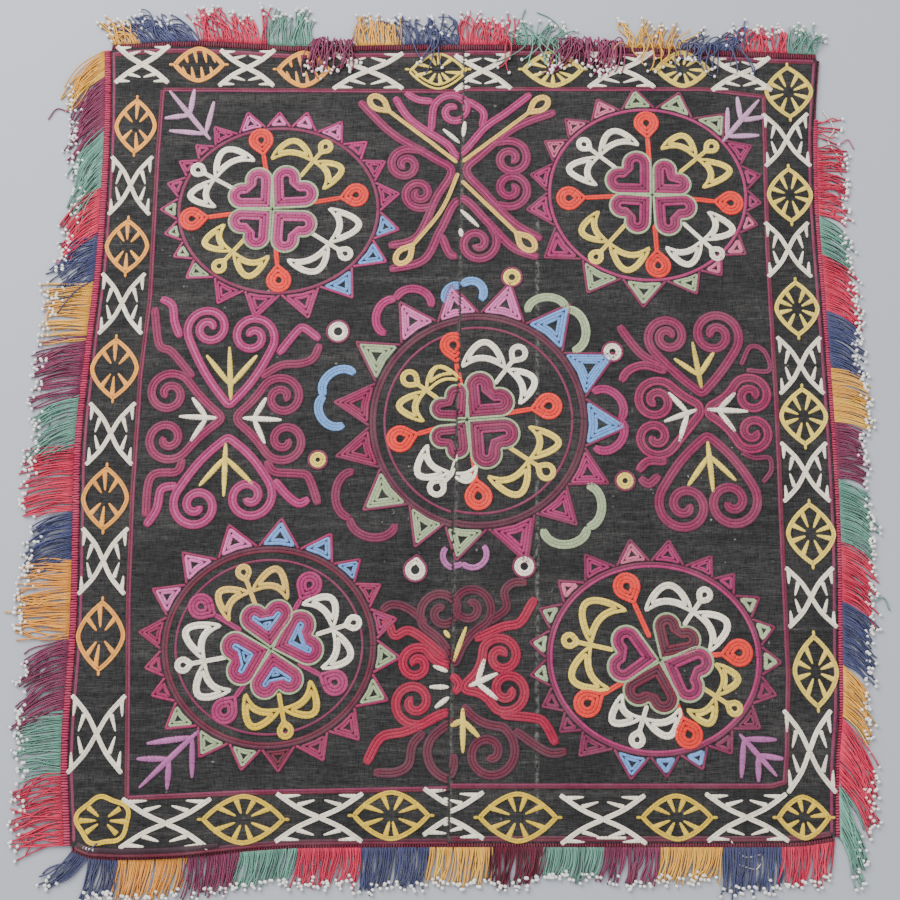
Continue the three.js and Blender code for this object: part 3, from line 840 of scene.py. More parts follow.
# Horns are (start, eye, radius, turns, turns left, bow), and tails the tendrils that run off their arms
crosses = [
    dict(name="crossTop", tuck=0.5, plies=[("plum", 1.7), ("magenta", 1.8), ("plum", 1.7)],
         tipPlies=[("magenta", 1.6), ("mauve", 1.5), ("magenta", 1.6)],
         horns=[((-15, 163), (-27, 154), 10, 1.5, True), ((-9, 128), (-19, 136), 9.5, 1.5, False),
         ((24, 168), (35, 158), 11.5, 1.5, False), ((25, 129), (35, 139), 11.5, 1.5, True),
         ((22, 117), (15, 105), 12, 1.5, False)],
         tipHorns=[((-12, 177), (1, 190), 12, 1.4, False)],
         tails=[[(-55, 195), (-35, 174), (-10, 158), (0, 150), (-9, 133), (-20, 109), (-37, 103)],
         [(62, 188), (38, 178), (17, 160), (9, 150), (20, 136), (36, 118), (53, 107)], [(-36, 90),
         (-16, 96), (-6, 115), (5, 133), (22, 117), (36, 102), (51, 96)], [(-6, 110), (-1, 98), (4, 97)]],
         tipTails=[[(-34, 199), (-24, 184), (-3, 169), (5, 161), (20, 178), (32, 187), (48, 200)],
         [(-11, 195), (-20, 196), (-28, 201)], [(18, 178), (19, 188), (9, 196)]],
         stems=[[(3.5, 155.5), (-44, 194)], [(4, 149), (-6.5, 124.5), (-28, 97)], [(6.5, 156), (53, 193)],
         [(6, 144), (44, 105)]],
         leaves=[((5, 168), (-5, 177), "cream"), ((7, 172), (8, 182), "cream"),
         ((5, 126), (16, 115), "cream"), ((5, 115), (6, 109), "cream")]),
    dict(name="crossLeft", plies=[("magenta", 1.7), ("mauve", 1.6), ("magenta", 1.7)],
         sidePlies=[("plum", 1.7), ("berry", 1.6), ("plum", 1.7)],
         horns=[((-126, 7), (-139, 53), 13, 1.7, False, 2), ((-126, 7), (-114, 48), 13.5, 1.65, True, -2),
         ((-126, -11), (-142, -50), 13.8, 1.65, True, -2), ((-126, -11), (-113, -45), 14, 1.6, False, 2)],
         sideHorns=[((-130, 1), (-160, 14), 13, 1.6, True, 1),
         ((-130, -1), (-160, -12), 13, 1.5, False, -1), ((-121, 2), (-96, 12), 12.5, 1.6, False, -1),
         ((-121, -2), (-94, -13), 12.5, 1.5, True, 1)],
         tails=[[(-156, 49), (-159, 57), (-161, 67), (-168, 71)], [(-155, -39), (-162, -41), (-164, -52),
         (-170, -62)], [(-98, 39), (-88, 52), (-84, 53), (-75, 46)], [(-98, -37), (-92, -44), (-85, -49),
         (-79, -46)]],
         sideTails=[[(-148, 25), (-160, 39), (-167, 43), (-171, 66)], [(-151, -25), (-154, -31),
         (-168, -34), (-170, -57)], [(-107, 25), (-97, 31), (-86, 32), (-79, 35), (-75, 44)], [(-103, -26),
         (-99, -31), (-86, -32), (-80, -34), (-74, -50)]],
         sprigs=[((-125, 10), "yellow", [(-140, 37), (-127, 42), (-111, 37)]),
         ((-127, -14), "yellow", [(-141, -39), (-127, -45), (-111, -38)]),
         ((-132, 0), "cream", [(-147, 12), (-154, 1), (-147, -14)]),
         ((-118, 0), "cream", [(-105, 12), (-96, -1), (-105, -15)])]),
    dict(name="crossRight", plies=[("plum", 1.8), ("berry", 1.7), ("plum", 1.8)],
         sidePlies=[("berry", 1.7), ("plum", 1.6), ("berry", 1.7)],
         horns=[((142, 14), (124, 48), 12.2, 1.75, False, 1), ((142, 14), (151, 49), 14.5, 1.75, True, -1),
         ((144, -10), (130, -50), 15.5, 1.7, True, -2), ((144, -10), (156, -48), 15.5, 1.65, False, 2)],
         sideHorns=[((140, 8), (116, 10), 12.5, 1.65, True, 1), ((141, 3), (115, -11), 11.5, 1.5, False),
         ((146, 7), (170, 13), 11.5, 1.55, False, -2), ((145, 2), (170, -8), 11, 1.5, True, 2)],
         tails=[[(118, 32), (109, 37), (101, 47), (96, 55)], [(115, -34), (110, -38), (105, -34)]],
         sideTails=[[(121, 28), (110, 31), (101, 28), (96, 21)], [(119, -25), (110, -25), (104, -31)]],
         threads=[[(165, 31), (171, 42), (179, 39), (181, 28), (168, 28)], [(163, -20), (170, -23),
         (178, -23), (179, -30), (174, -37)]],
         sprigs=[((142, 17), "yellow", [(127, 35), (138, 45), (150, 39)]),
         ((144, -13), "yellow", [(132, -39), (146, -43), (159, -36)]),
         ((139, 5), "cream", [(123, 15), (120, -2), (128, -14)]),
         ((144, 5), "cream", [(161, 15), (168, 4), (160, -8)])]),
    dict(name="crossBottom", plies=[("darkPlum", 1.7), ("wine", 1.6), ("darkPlum", 1.7)],
         sidePlies=[("crimson", 1.7), ("cherry", 1.7), ("crimson", 1.7)],
         horns=[((1, -137), (-5, -108), 13, 1.5, False, -3), ((2, -137), (10, -106.5), 12.6, 1.5, True, 3),
         ((6, -159), (20, -184), 15.5, 1.5, False, -3)],
         sideHorns=[((0, -137), (-19, -136), 9.5, 1.4, True, 2),
         ((0, -161), (-20, -156), 12.5, 1.5, False, -1), ((7, -148), (27, -133), 11, 1.5, False, -3),
         ((7, -151), (30, -151), 12, 1.5, True, 3)],
         tails=[[(-15, -114), (-24, -107), (-33, -105), (-39, -109)], [(21, -114), (30, -107), (29, -98),
         (34, -93), (42, -93)], [(-1, -167), (-10, -174), (-13, -182), (-10, -191), (-2, -196), (1, -191),
         (1, -184)], [(-16, -174), (-21, -180), (-23, -190), (-30, -194), (-42, -194)], [(35, -173),
         (45, -180), (53, -184), (62, -183)]],
         sideTails=[[(-4, -133), (-16, -123), (-24, -119), (-31, -122), (-34, -116), (-38, -113)],
         [(-4, -163), (-16, -169), (-26, -173), (-38, -176), (-46, -190)], [(14, -123), (28, -117),
         (37, -115), (43, -106), (46, -101)], [(28, -164), (46, -166), (51, -170), (56, -180)], [(1, -144),
         (4, -148), (1, -153)]],
         leaves=[((1, -136), (8, -117), "yellow"), ((-1, -123), (-4, -119), "yellow"),
         ((-2, -141), (-10, -138), "cream"), ((-1, -148), (-12, -148), "cream"),
         ((-1, -153), (-9, -159), "cream")],
         sprigs=[((6, -160), "yellow", [(-1, -170), (6, -184), (15, -176)]),
         ((9, -149), "cream", [(18, -134), (25, -142), (25, -156)])]),
]
# Horns that start close together are one line; a tail starts a little inside the arm that it leaves
scroll = dict(tuck=2.2, tailBend=1.4, pairWithin=6, bend=2.4)
spoon = dict(radius=5.5, width=1.2, long=1.3, row=1.75)


# Three leaves from one base
def sewSprig(sewing, base, thread, tips):
    base = np.asarray(base, float)
    fork = base + (tips[1] - base) * 0.28
    for i, tip in enumerate(tips):
        sewing.leaf(base if i == 1 else fork, tip, thread, 3)


for c in crosses:
    sewing = Sewing(c["name"])
    for hornKey, tailKey, plies in (("horns", "tails", "plies"), ("sideHorns", "sideTails", "sidePlies"),
                                    ("tipHorns", "tipTails", "tipPlies")):
        horns = [hornPath(*horn) for horn in c.get(hornKey, [])]
        while horns:
            path = horns.pop(0)
            if horns and np.hypot(*(horns[0][0] - path[0])) < scroll["pairWithin"]:
                path = rounded(np.concatenate([path[::-1], horns.pop(0)]), scroll["bend"])
            sewing.band(path, c[plies])
        for points in c.get(tailKey, []):
            line = flowing(points)
            back = line[0] - line[3]
            line = np.concatenate([[line[0] + back / np.hypot(*back) * c.get("tuck", scroll["tuck"])], line])
            sewing.band(rounded(line, scroll["tailBend"]), c[plies])
    for points in c.get("threads", []):
        sewing.band(flowing(points), [("plum", 1.4)] * 2)
    for points in c.get("stems", []):
        line = flowing(points)
        sewing.band(line[:-12], [("amber", spoon["width"])] * 2, height=stand["spoon"])
        head = dropOutline((0, 0), spoon["radius"], np.array(points[-2], float) - points[-1], 1.6)
        axis = line[-1] - line[-14]
        axis = axis / np.hypot(*axis)
        head = head + np.outer(head @ axis, axis) * (spoon["long"] - 1) + points[-1]
        sewing.nest(head, [("amber", spoon["row"])] * 2, height=stand["spoon"])
    for start, end, thread in c.get("leaves", []):
        sewing.leaf(start, end, thread)
    for base, thread, tips in c.get("sprigs", []):
        sewSprig(sewing, base, thread, tips)
    sewn.append(sewing.finish(silk))

print("stage: curls, dots and corner sprigs")
curls = named("x y thread rows left right", [
    (-72, 13, "blue", 3, (21, 8), (20, 8)), (-32, 70, "magenta", 3, (20.5, 8.5), (21, 8)),
    (6, 79, "blue", 3, (14, 7), (12, 5)), (66, 64, "sage", 3, (24.5, 9), (22, 8)),
    (95, -1, "magenta", 3, (21.5, 8.5), (21.5, 8.5)), (75, -62, "sage", 3, (24, 9), (23, 8)),
    (6, -82, "orchid", 2, (13, 6), (15, 7)), (-56, -57, "plum", 3, (26, 9), (25, 9)),
])
curlShape = dict(spread=49, target=(12, -1), row=1.65, dotEdge=1.2, leaf=3.1)
dots = named("place radius thread point", [
    ((-65, 51), 7, "cream"), ((-75, -24), 5.8, "yellow"), ((-20, -86), 6.9, "cream", (-18, -70)),
    ((40, -84), 6.7, "cream"), ((92, 39), 6.4, "cream"), ((97, -36), 6, "yellow"), ((35, 84), 6.4, "yellow"),
])
cornerSprigs = named("thread base tip pairs", [
    ("lilac", (-143, 170), (-169, 202), [(-142, 195), (-168, 176), (-154, 203), (-171, 184)]),
    ("lilac", (161, 169), (184, 196), [(165, 191), (183, 173), (171, 198), (187, 185)]),
    ("orchid", (-135, -172), (-166, -202), [(-163, -179), (-138, -197), (-168, -187), (-151, -203)]),
    ("orchid", (154, -174), (173, -196), [(154, -197), (174, -177), (163, -199), (177, -187)]),
])
sewing = Sewing("curlsAndDots")
for curl in curls:
    cusp = np.array([curl["x"], curl["y"]], float)
    facing = angleOf(curlShape["target"] - cusp)
    for side, (chord, bulge) in ((1, curl["left"]), (-1, curl["right"])):
        direction = towards(facing + side * curlShape["spread"])
        outwards = leftOf(direction) * side
        t = np.linspace(0, 1.03, 50)[:, None]
        arc = cusp + direction * chord * (1 - np.cos(np.pi * t)) / 2 + outwards * bulge * np.sin(np.pi * t)
        sewing.band(arc, [(curl["thread"], curlShape["row"])] * curl["rows"])
for dot in dots:
    outline = circle(dot["place"], [dot["radius"]] * 2)
    if "point" in dot:
        outline = dropOutline(dot["place"], dot["radius"], dot["point"], 1.35)
    sewing.nest(outline, [("plum", curlShape["dotEdge"]), *[(dot["thread"], curlShape["row"])] * 2])
for sprig in cornerSprigs:
    base = np.array(sprig["base"], float)
    for i, end in enumerate([sprig["tip"], *sprig["pairs"]]):
        root = base + (sprig["tip"] - base) * (0, 0.12, 0.12, 0.5, 0.5)[i]
        sewing.leaf(root, end, sprig["thread"], curlShape["leaf"])
sewn.append(sewing.finish(silk))

print("stage: borders")
# Widths of the rows and barbs; the strip along the top is sewn with wider ones
border = dict(row=1.2, topRow=1.4, feather=1.25, topFeather=1.5, topFrom=210, rib=2.5, barb=2.8,
              featherBarb=2.4)
innerBorder = [(-173, 204), (0, 203), (152, 203), (187, 198), (184, 102), (184, 2), (183, -63), (182, -143),
               (179, -184), (177, -199), (170, -201), (-1, -201), (-108, -203), (-172, -206), (-174, -164),
               (-177, -101), (-178, -41), (-177, 25), (-174, 72), (-174, 163)]
lozenges = named("x y across up leaves thread fiveCorners", [
    (-188, 179, 12.6, 18, 6, "orange"), (-189, 103, 13, 17, 6, "orange"), (-192, 29, 14, 18.4, 6, "orange"),
    (-193, -46, 13.4, 18.4, 6, "orange"), (-191, -122, 13.4, 19.5, 6, "orange"),
    (-152, 219, 16, 11.8, "ribs", "orange"), (-89, 216, 16.5, 12.4, "ribs", "orange"),
    (-8, 216, 18, 12.2, 9, "yellow"), (61, 216, 19, 12.2, 10, "yellow"), (139, 216, 17, 12.4, 9, "yellow"),
    (202, 201, 14.4, 17.4, 8, "yellow"), (199, 135, 13.6, 17.6, 8, "yellow"), (199, 65, 13, 17, 8, "yellow"),
    (199, 1, 13.8, 17.2, 8, "yellow"), (199, -66, 13.8, 17.8, 8, "yellow"),
    (197, -141, 12.6, 20, 8, "yellow"), (-184, -218.5, 14.8, 12.8, 6, "mustard", 0.06),
    (186, -217, 14.6, 11.6, 7, "mustard"), (-110, -218, 22.5, 13, 8, "mustard"),
    (-32, -216, 21, 13, 8, "mustard"), (35, -217, 21.5, 13.2, 8, "mustard"),
    (119, -217, 19.5, 12.2, 8, "mustard"),
])
# Feathered crosses: "only" keeps one to its own side of the seam
feathers = named("x y across up only", [
    (-189, 141, 12.2, 18.5), (-190, 68, 12.5, 18.5), (-192, -9, 13, 18), (-192, -81, 12.8, 18.5),
    (-190, -174, 14.5, 20.5), (-186, 219, 16, 12), (-123, 217, 16.5, 12), (-50, 215, 21, 12),
    (19, 215, 17, 12), (102, 216, 20, 12), (174, 213, 18, 11), (199, 170, 13.5, 17), (196, 101, 12.8, 17),
    (199, 31, 12.6, 17), (198, -31, 13, 17), (197, -101, 13.2, 16.5), (191, -183, 12.6, 21.5),
    (-151, -220, 23.5, 12.6), (-70, -217, 23, 12.4), (7, -214, 22, 12, "left"), (-6, -216, 23, 12, "right"),
    (80, -218, 22.5, 12.4), (156, -217, 21.5, 12.2),
])


# A pointed oval of two rows, or a ring with five soft corners, with barbs that run inwards from its rim
def sewLozenge(sewing, place):
    centre = np.array([place["x"], place["y"]], float)
    size = (place["across"], place["up"])
    upright = place["up"] > place["across"]
    long, short = max(size), min(size)

    def halfAt(share):
        return short * (1 - abs(share) ** 1.7) ** 0.92

    s = np.linspace(-1, 1, 40)
    right = np.stack([halfAt(s), s * long], axis=1)
    local = np.concatenate([right, right[-2:0:-1] * [-1, 1]])
    if not upright:
        local = local[:, ::-1]
    if "fiveCorners" in place:
        local = circle((0, 0), size)
        turn = np.arctan2(local[:, 1], local[:, 0])
        local = local * (1 + place["fiveCorners"] * np.cos(5 * (turn - 1.75)))[:, None]
    row = border["topRow"] if centre[1] > border["topFrom"] else border["row"]
    sewing.nest(centre + local, [(place["thread"], row)] * 2)
    axis = np.array([0, 1.0]) if upright else np.array([1.0, 0])
    for end in () if "fiveCorners" in place else (1, -1):
        sewing.leaf(centre + axis * end * (long - 1), centre + axis * end * (long + 2), place["thread"], 1.6)
    if place["leaves"] == "ribs":
        cross = np.array([axis[1], axis[0]])
        for side in (1, -1):
            for share in (-0.52, -0.18, 0.18, 0.52):
                rim = centre + axis * long * share + cross * side * (halfAt(share) - 2.4)
                tip = centre + axis * (long * share + 1.6 * side) + cross * side * 1.2
                sewing.barb(rim, tip, place["thread"], border["rib"])
        return
    count = place["leaves"]
    spread = (np.arange(count) + 0.5 * (count in (8, 10))) * 360 / count
    if count == 6:
        spread = np.array([0, 38, 142, 180, 218, 322])
    for turn in spread:
        angle = turn + (90 if upright else 0) + 4 * dice.standard_normal()
        direction = towards(angle)
        reach = 1 / np.hypot(*(direction / size)) * (1 - 0.1 * abs(math.sin(math.radians(2 * angle))))
        rim = centre + direction * (reach - 2)
        tip = centre + direction * max(reach * 0.24, 2.6)
        sewing.barb(rim, tip, place["thread"], border["barb"])


# Two crossing bars with leaf barbs in the triangles that face the border lines
def sewFeather(sewing, place):
    centre = np.array([place["x"], place["y"]], float)
    size = np.array([place["across"], place["up"]])
    upright = size[1] > size[0]
    only = place.get("only")
    row = border["topFeather"] if place["y"] > border["topFrom"] else border["feather"]
    for sx in (-1, 1):
        for sy in (-1, 1):
            end = centre + size * [sx, sy]
            bow = np.array([-sx * 1.5, 0]) if upright else np.array([0, -sy * 1.2])
            sewing.band(flowing([centre, (centre + end) / 2 + bow, end]), [("cream", row)] * 2, only, 0.5)
            inward = np.array([0, -sy]) if upright else np.array([-sx, 0])
            outward = np.array([sx, 0]) if upright else np.array([0, sy])
            near = centre + (end - centre) * 0.5
            away = abs(np.dot(near - centre, inward))
            turned = near + (inward + outward * 0.3) * min(9, away - 0.8)
            sewing.barb(near, turned, "cream", border["featherBarb"], only)
            far = centre + (end - centre) * 0.86
            turned = far + (inward + outward * 0.08) * size.max() * 0.42
            sewing.barb(far, turned, "cream", border["featherBarb"], only)


sewing = Sewing("innerBorderLine")
sewing.band([*innerBorder, innerBorder[0]], [("plum", 1.3), ("wine", 1.3)], height=stand["borderLine"])
sewn.append(sewing.finish(silk))
sewing = Sewing("borderLozenges")
for place in lozenges:
    sewLozenge(sewing, place)
sewn.append(sewing.finish(silk))
sewing = Sewing("borderFeathers")
for place in feathers:
    sewFeather(sewing, place)
sewn.append(sewing.finish(silk))

# Rows along the cloth's own edges, with a rolled hem at the lower left
edgeRows = named("line key inward plies", [
    (leftEdge, "y", 1, [("plum", 1.6)]), (rightEdge, "y", -1, [("plum", 1.6)]),
    (topEdge, "x", -1, [("wine", 1.5), ("plum", 1.5)]),
    (bottomEdge, "x", 1, [("wine", 1.4), ("darkPlum", 1.4)]),
])
hemRows = [(-197, -122, "hem", 2.6, 1.2), (76, 92, "cream", 1.5, 1), (-194, -187, "cream", 1.5, 1.1)]
sewing = Sewing("edgeRows")
for edge in edgeRows:
    at = np.linspace(edge["line"][edge["key"]][0] + 2, edge["line"][edge["key"]][-1] - 2, 500)
    across = readLine(edge["line"], edge["key"], at) + edge["inward"] * 1.7
    points = [at, across] if edge["key"] == "x" else [across, at]
    sewing.band(np.stack(points, axis=1), edge["plies"], height=stand["edge"])
for first, last, thread, width, height in hemRows:
    at = np.linspace(first, last, 120)
    sewing.row(np.stack([at, readLine(bottomEdge, "x", at) + 2.2], axis=1), thread, width, height)
sewn.append(sewing.finish(silk))

print("stage: heading and fringe")
heading = dict(rib=1.42, height=2.0, reachIn=0.9)
strand = dict(radius=0.43, pitch=0.76, steps=8, overSteps=12, clump=7, bare=0.02, bead=1.1, beadShare=0.62,
              overBeadShare=0.95)

# Blocks of colour along each edge: "to" is where one ends, "lean" and "reach" say how its threads lie, "mess"
# how much they sway, "over" the share that falls back over the cloth and "bare" the share that is missing
leftBlocks = named("to lean reach thread mess over bare", [
    (211, -49, 30, "gold", 9), (177, -54, 29, "aubergine", 9), (141, -58, 30, "green", 9),
    (111, -45, 28, "red", 6), (81, -36, 26, "navy", 16), (48, -3, 25, "gold", 7),
    (13, -14, 26, "aubergine", 9), (-16, -26, 25, "green", 10), (-53, -10, 27, "red", 6),
    (-80, -24, 25, "navy", 10), (-123, -4, 27, "orange", 10), (-163, -24, 26, "aubergine", 9),
    (-195, -8, 22, "green", 9), (-231, -14, 25, "red", 16),
])
rightBlocks = named("to lean reach thread mess over bare", [
    (183, -4, 0, "red", 0), (165, 2, 14, "red", 30, 0, 0.75), (123, -10, 17, "red", 18),
    (98, -36, 19, "green", 6), (64, -32, 22, "red", 5), (31, -30, 21, "navy", 6), (-1, -16, 20, "gold", 4),
    (-35, -16, 16, "aubergine", 7), (-70, -30, 19, "green", 6), (-103, -36, 21, "red", 6),
    (-136, -40, 20, "navy", 7), (-165, -50, 20, "gold", 7), (-200, -60, 31, "red", 8),
    (-227, -70, 27, "green", 8),
])
topBlocks = named("to lean reach thread mess over bare", [
    (-188, -38, 18, "gold", 25), (-152, -50, 24, "navy", 19), (-111, -16, 21, "red", 16),
    (-84.5, 2, 20, "green", 13), (-58.5, 0, 20, "aubergine", 37, True), (-31.5, 0, 18, "gold", 18),
    (5.5, -5, 18, "navy", 34, 0.1), (38.5, 3, 18, "red", 22, 0.1), (65.5, 6, 15, "green", 49, 0.3),
    (105.5, 0, 20, "aubergine", 43, True), (138.5, 8, 17, "gold", 25, 0.12),
    (171.5, 46, 18, "navy", 25, 0.35), (202.5, 6, 16, "red", 25), (220, 28, 18, "green", 25),
])
bottomBlocks = named("to lean reach thread mess over bare", [
    (-190, -48, 22, "navy", 8), (-173.5, -12, 19, "navy", 12), (-139.5, -12, 19, "orange", 6),
    (-111.5, -8, 19, "aubergine", 7), (-80.5, -14, 18, "green", 8), (-48.5, -6, 19, "red", 8),
    (-11.5, -8, 20, "navy", 9), (22.5, -8, 18, "gold", 7), (49.5, -10, 19, "wine", 8),
    (80.5, -14, 15, "green", 6), (109.5, -14, 18, "aubergine", 8), (142.5, -14, 17, "gold", 7),
    (174.5, -6, 22, "navy", 8), (202, -8, 19, "red", 8),
])
sides = named("name node line key outward width blocks rib together", [
    ("Left", "fringe_left", leftEdge, "y", -1, 4.4, leftBlocks, "rib", 0.4),
    ("Right", "fringe_right", rightEdge, "y", 1, 3, rightBlocks, "rib", 0.4),
    ("Top", "fringe_top", topEdge, "x", 1, 4.2, topBlocks, "wine", 0.7),
    ("Bottom", "fringe_bottom", bottomEdge, "x", -1, 2.8, bottomBlocks, "wine", 0.4),
])


# The block that holds a place along a side
def blockAt(side, place):
    way = -1 if side["key"] == "y" else 1
    return next((b for b in side["blocks"] if way * place <= way * b["to"]), side["blocks"][-1])


# How far out the heading starts at a place along a side
def edgeOf(side, place):
    return side["outward"] * float(readLine(side["line"], side["key"], place)) + cloth["edgeGap"]


# From places along, out of and above a side to places in the part's frame
def sidePlaces(side, along, out, up):
    if side["key"] == "x":
        return np.stack([along, side["outward"] * out, up], axis=-1)
    return np.stack([side["outward"] * out, along, up], axis=-1)


# Half-round ribs that lie across the heading, side by side, each painted darker towards its sides as shade
# between the ribs
def makeHeading(side, finish):
    start, end = side["line"][side["key"]][0], side["line"][side["key"]][-1]
    count = round((end - start) / heading["rib"])
    pitch = (end - start) / count
    places, faces, colours, maps = [], [], [], []
    across = np.array([-1, -0.72, 0, 0.72, 1])
    rise = np.array([0, 0.75, 1, 0.75, 0])
    for i in range(count):
        middle = start + (i + 0.5) * pitch
        edge = edgeOf(side, middle)
        bare = blockAt(side, middle)["reach"] == 0
        out = edge + side["width"] * np.array([0.02, 0.2, 0.62, 0.98]) * (0.5 if bare else 1)
        tall = heading["height"] * np.array([0.7, 1, 1, 0.7]) * (1 + 0.06 * dice.standard_normal())
        skew = 0.25 * dice.standard_normal() * np.array([-0.5, -0.2, 0.2, 0.5])
        along = middle + skew[:, None] + across * pitch * 0.54
        up = tall[:, None] * rise
        places.append(sidePlaces(side, along, np.repeat(out[:, None], 5, axis=1), up).reshape(-1, 3))
        base = np.array(linear(dyes["wine" if bare else side["rib"]])) * (1 + 0.13 * dice.standard_normal())
        # Painted shade: each rib darker at its two sides and brightest along its crest
        paintedShade = np.tile(np.array([0.4, 0.8, 1, 0.8, 0.4]), 4)[:, None]
        colours.append(np.clip(base * paintedShade, 0, 1))
        maps.append(np.stack([np.repeat(np.arange(4), 5) * 1.0, np.tile((across + 1) / 2, 4)], axis=1))
        turned = (side["key"] == "y") != (side["outward"] < 0)
        own = stripFaces(20 * i, 4, 5)
        faces += own if turned else [face[::-1] for face in own]
    return meshPiece("heading" + side["name"], np.concatenate(places), faces, np.concatenate(colours),
                     np.concatenate(maps), finish)


# The path of one thread from the heading to its tip: six seeds say how it sways
def threadPath(side, root, block, seed, over):
    outside = edgeOf(side, root) + side["width"]
    reach = block["reach"] * (1 + 0.12 * seed[0])
    steps = strand["overSteps"] if over else strand["steps"]
    t = (np.arange(steps) + 0.5) / steps
    share = np.linspace(0, 1, steps + 1)
    if over:
        reach = reach * (0.75 + 0.3 * math.sin(seed[3]))
        rise = 1.2 + 2.0 * abs(seed[4])
        back = np.clip((share - 0.2) / 0.8, 0, 1)
        back = back * back * (3 - 2 * back) * (reach * 0.85 + 0.3 * rise)
        out = outside + rise * np.sin(np.pi * np.minimum(share / 0.45, 1)) - back
        up = 1.4 + (2.6 + 0.8 * abs(seed[1])) * np.sin(np.pi * share ** 0.8)
        along = root + 5.5 * seed[2] * share + 3.2 * seed[1] * np.sin(share * 5.2 + seed[3])
        along = along - 3.2 * seed[1] * np.sin(seed[3]) * (1 - share)
        return sidePlaces(side, along, out, up)
    curl = 0.9 - abs(block["lean"]) / 90
    lean = block["lean"] * (1 - curl + 2 * curl * t)
    sway = block["mess"] * (0.7 * seed[1] + 1.3 * seed[2] * np.sin(t * 4.6 + seed[3]))
    turn = np.radians(lean + sway * (0.35 + t))
    out = outside - 0.6 + np.append(0, np.cumsum(np.cos(turn))) * reach / steps
    along = root + np.append(0, np.cumsum(np.sin(turn))) * reach / steps
    up = strand["radius"] + 0.05 + 1.0 * np.exp(-share * 7) + abs(seed[4]) * 1.1 * np.sin(np.pi * share * 0.9)
    return sidePlaces(side, along, out, up)


# Rests a path on the cloth wherever it comes in over it
def restOnCloth(path):
    x, y, z = path.T
    inside = (x > readLine(leftEdge, "y", y)) & (x < readLine(rightEdge, "y", y))
    inside = inside & (y > readLine(bottomEdge, "x", x)) & (y < readLine(topEdge, "x", x))
    path[:, 2] = np.where(inside, np.maximum(z, clothFace(x, y) + 1), z)
    return path


# Three-sided tubes along many paths, each painted darker along its two lower edges and a little lighter along
# its top, as shade and highlight
def tubeArrays(paths, radius, colours):
    places, faces, paintedShades, maps = [], [], [], []
    count = 0
    for path, colour in zip(paths, colours):
        forward = np.gradient(path, axis=0)
        forward /= np.linalg.norm(forward, axis=1)[:, None]
        side = np.stack([-forward[:, 1], forward[:, 0], np.zeros(len(path))], axis=1)
        side /= np.maximum(np.linalg.norm(side, axis=1), 1e-6)[:, None]
        top = np.cross(forward, side)
        low = path - top * radius * 0.6
        ring = np.stack([low - side * radius, low + side * radius, path + top * radius * 1.1], axis=1)
        places.append(ring.reshape(-1, 3))
        # Painted shade and highlight: the two lower corners of the tube darker, the top corner a little
        # lighter
        paintedShade = np.array([0.8, 0.8, 1.06])
        paintedShades.append(np.clip(np.tile(paintedShade, len(path))[:, None] * colour[None, :], 0, 1))
        maps.append(np.stack([np.repeat(runAlong(path) / 2, 3), np.tile([0, 1, 0.5], len(path))], axis=1))
        faces += stripFaces(count, len(path), 3)
        count += 3 * len(path)
    return np.concatenate(places), faces, np.concatenate(paintedShades), np.concatenate(maps)


# One glass bead, flattened along its hole, as a small mesh to copy
def beadShape():
    bpy.ops.mesh.primitive_uv_sphere_add(segments=7, ring_count=4, radius=strand["bead"])
    bead = bpy.context.object
    bpy.ops.object.mode_set(mode="EDIT")
    bpy.ops.transform.resize(value=(1, 1, 0.8))
    bpy.ops.object.mode_set(mode="OBJECT")
    places = np.array([v.co for v in bead.data.vertices])
    faces = [tuple(p.vertices) for p in bead.data.polygons]
    bpy.data.objects.remove(bead)
    return places, faces


def makeBeads(name, ends, finish):
    shape, shapeFaces = beadShape()
    places, faces, colours = [], [], []
    for i, (place, axis) in enumerate(ends):
        frameOf = Vector(axis).to_track_quat("Z", "Y").to_matrix()
        size = 1 + 0.08 * dice.standard_normal()
        places.append(shape @ np.array(frameOf).T * size + place)
        tint = np.array(linear(dyes["white"])) * (1 + 0.05 * dice.standard_normal())
        colours.append(np.repeat(np.clip(tint, 0, 0.9)[None, :], len(shape), axis=0))
        faces += [tuple(index + i * len(shape) for index in face) for face in shapeFaces]
    places = np.concatenate(places)
    return meshPiece(name, places, faces, np.concatenate(colours), places[:, :2] / 10, finish)


def beadFinish():
    finish = Finish("whiteGlassBeads", Roughness=0.22, Specular_IOR_Level=0.5, Coat_Weight=0.4)
    cloud = finish.noise(finish.objectPlace(), 700, 2).clamped(0.35, 0.7)
    finish.feed("Base Color", finish.mixed(cloud * 0.35, finish.dyeAndPaintedShade(), paint(0.72, 0.70, 0.67)))
    finish.feed("Roughness", cloud * 0.15 + 0.16)
    return finish.data


# Single threads that lie away from the rest
strays = named("side thread points", [
    ("Left", "aubergine", [(-218, 196), (-227, 189), (-236, 191), (-241, 184)]),
    ("Left", "gold", [(-216, 46), (-226, 50), (-233, 58), (-232, 66)]),
    ("Right", "cream", [(222, 190), (228, 178), (224, 170), (231, 158)]),
    ("Right", "rose", [(221, 172), (230, 168), (236, 171), (239, 165)]),
    ("Right", "green", [(218, -98), (229, -104), (237, -101), (240, -108)]),
    ("Top", "green", [(52, 232), (49, 241), (43, 249), (45, 257)]),
    ("Top", "green", [(60, 232), (66, 243), (60, 251), (52, 255)]),
    ("Bottom", "cream", [(147, -229), (154, -237), (163, -236), (160, -243), (151, -241)]),
    ("Bottom", "navy", [(-186, -230), (-193, -236), (-201, -241), (-205, -246)]),
])
fringeSilk = silkFinish("fringeSilk")
glass = beadFinish()
headings, fringes, beads = [], [], []
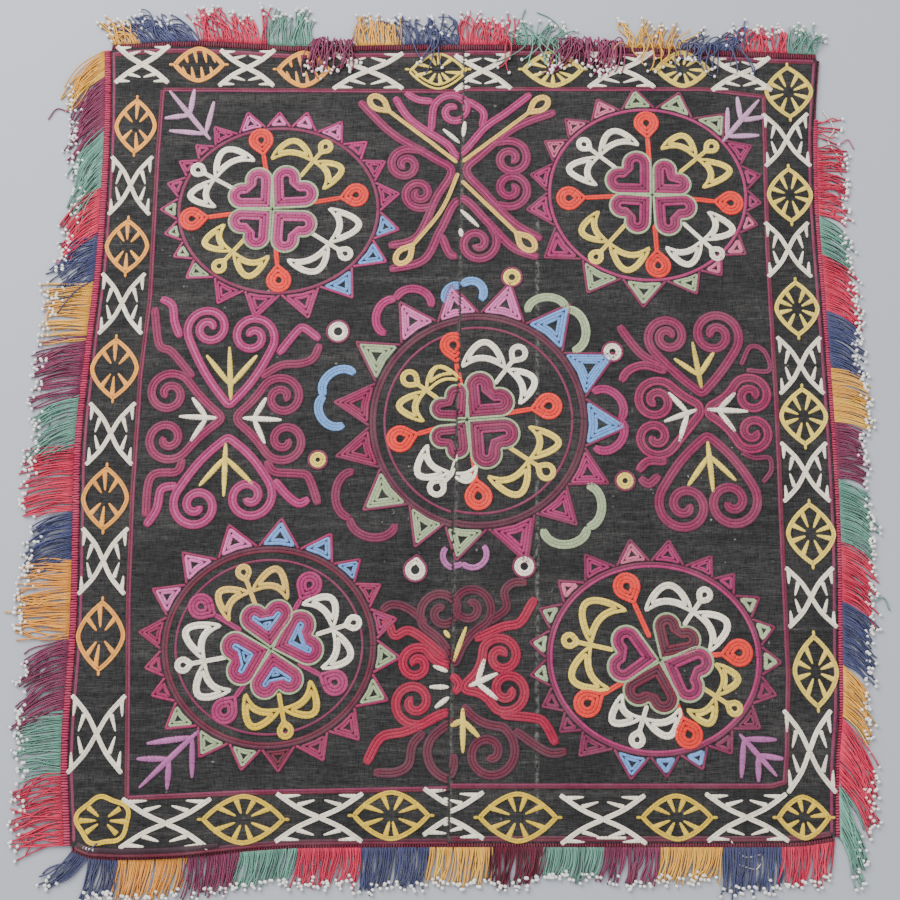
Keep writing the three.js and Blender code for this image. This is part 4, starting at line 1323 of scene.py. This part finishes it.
for side in sides:
    headings.append(makeHeading(side, fringeSilk))
    start, end = side["line"][side["key"]][0], side["line"][side["key"]][-1]
    count = round((end - start) / strand["pitch"])
    pitch = (end - start) / count
    paths, colours, ends = [], [], []
    clumpSeed = dice.standard_normal((count // strand["clump"] + 1, 6))
    clumpSeed[:, 3] = dice.uniform(0, 6.28, len(clumpSeed))
    for i in range(count):
        root = start + (i + 0.5) * pitch
        shared = clumpSeed[i // strand["clump"]]
        seed = 0.7 * dice.standard_normal(6) + side["together"] * shared
        seed[3] = shared[3] + dice.normal(0, 0.9)
        block = blockAt(side, root + 0.8 * dice.standard_normal())
        if block["reach"] == 0 or dice.uniform() < block.get("bare", strand["bare"]):
            continue
        over = block.get("over") is True or dice.uniform() < block.get("over", 0)
        path = restOnCloth(threadPath(side, root, block, seed, over))
        paths.append(path)
        tint = (1 + 0.09 * shared[5]) * (1 + 0.12 * dice.standard_normal())
        colours.append(np.clip(np.array(linear(dyes[block["thread"]])) * tint, 0, 1))
        if dice.uniform() < strand["overBeadShare" if over else "beadShare"]:
            axis = path[-1] - path[-2]
            axis /= np.linalg.norm(axis)
            place = path[-1] + axis * strand["bead"] * 0.6
            place[2] = max(place[2], strand["bead"])
            ends.append((place, axis))
    for stray in [s for s in strays if s["side"] == side["name"]]:
        path = flowing(stray["points"], 1.6)
        path = restOnCloth(np.concatenate([path, np.full((len(path), 1), 0.6)], axis=1))
        paths.append(path)
        colours.append(np.array(linear(dyes[stray["thread"]])))
    tubes = tubeArrays(paths, strand["radius"], colours)
    fringes.append(meshPiece("threads" + side["name"], *tubes, fringeSilk))
    beads.append(makeBeads("beads" + side["name"], ends, glass))
    print("  ", side["name"], len(paths), "threads", len(ends), "beads")

for panel, node in ((clothLeft, "ground_left"), (clothRight, "ground_right")):
    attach(panel, "root")
    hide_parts(node)
for piece in sewn:
    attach(piece, "root")
for side, band, fringe, bead in zip(sides, headings, fringes, beads):
    for piece in (band, fringe):
        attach(piece, "root")
    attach(bead, "root")
    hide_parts(side["node"])

triangles = sum(len(p.vertices) - 2 for o in bpy.data.objects if o.type == "MESH" and not o.hide_render
                for p in o.data.polygons)
print("triangles shown:", triangles)
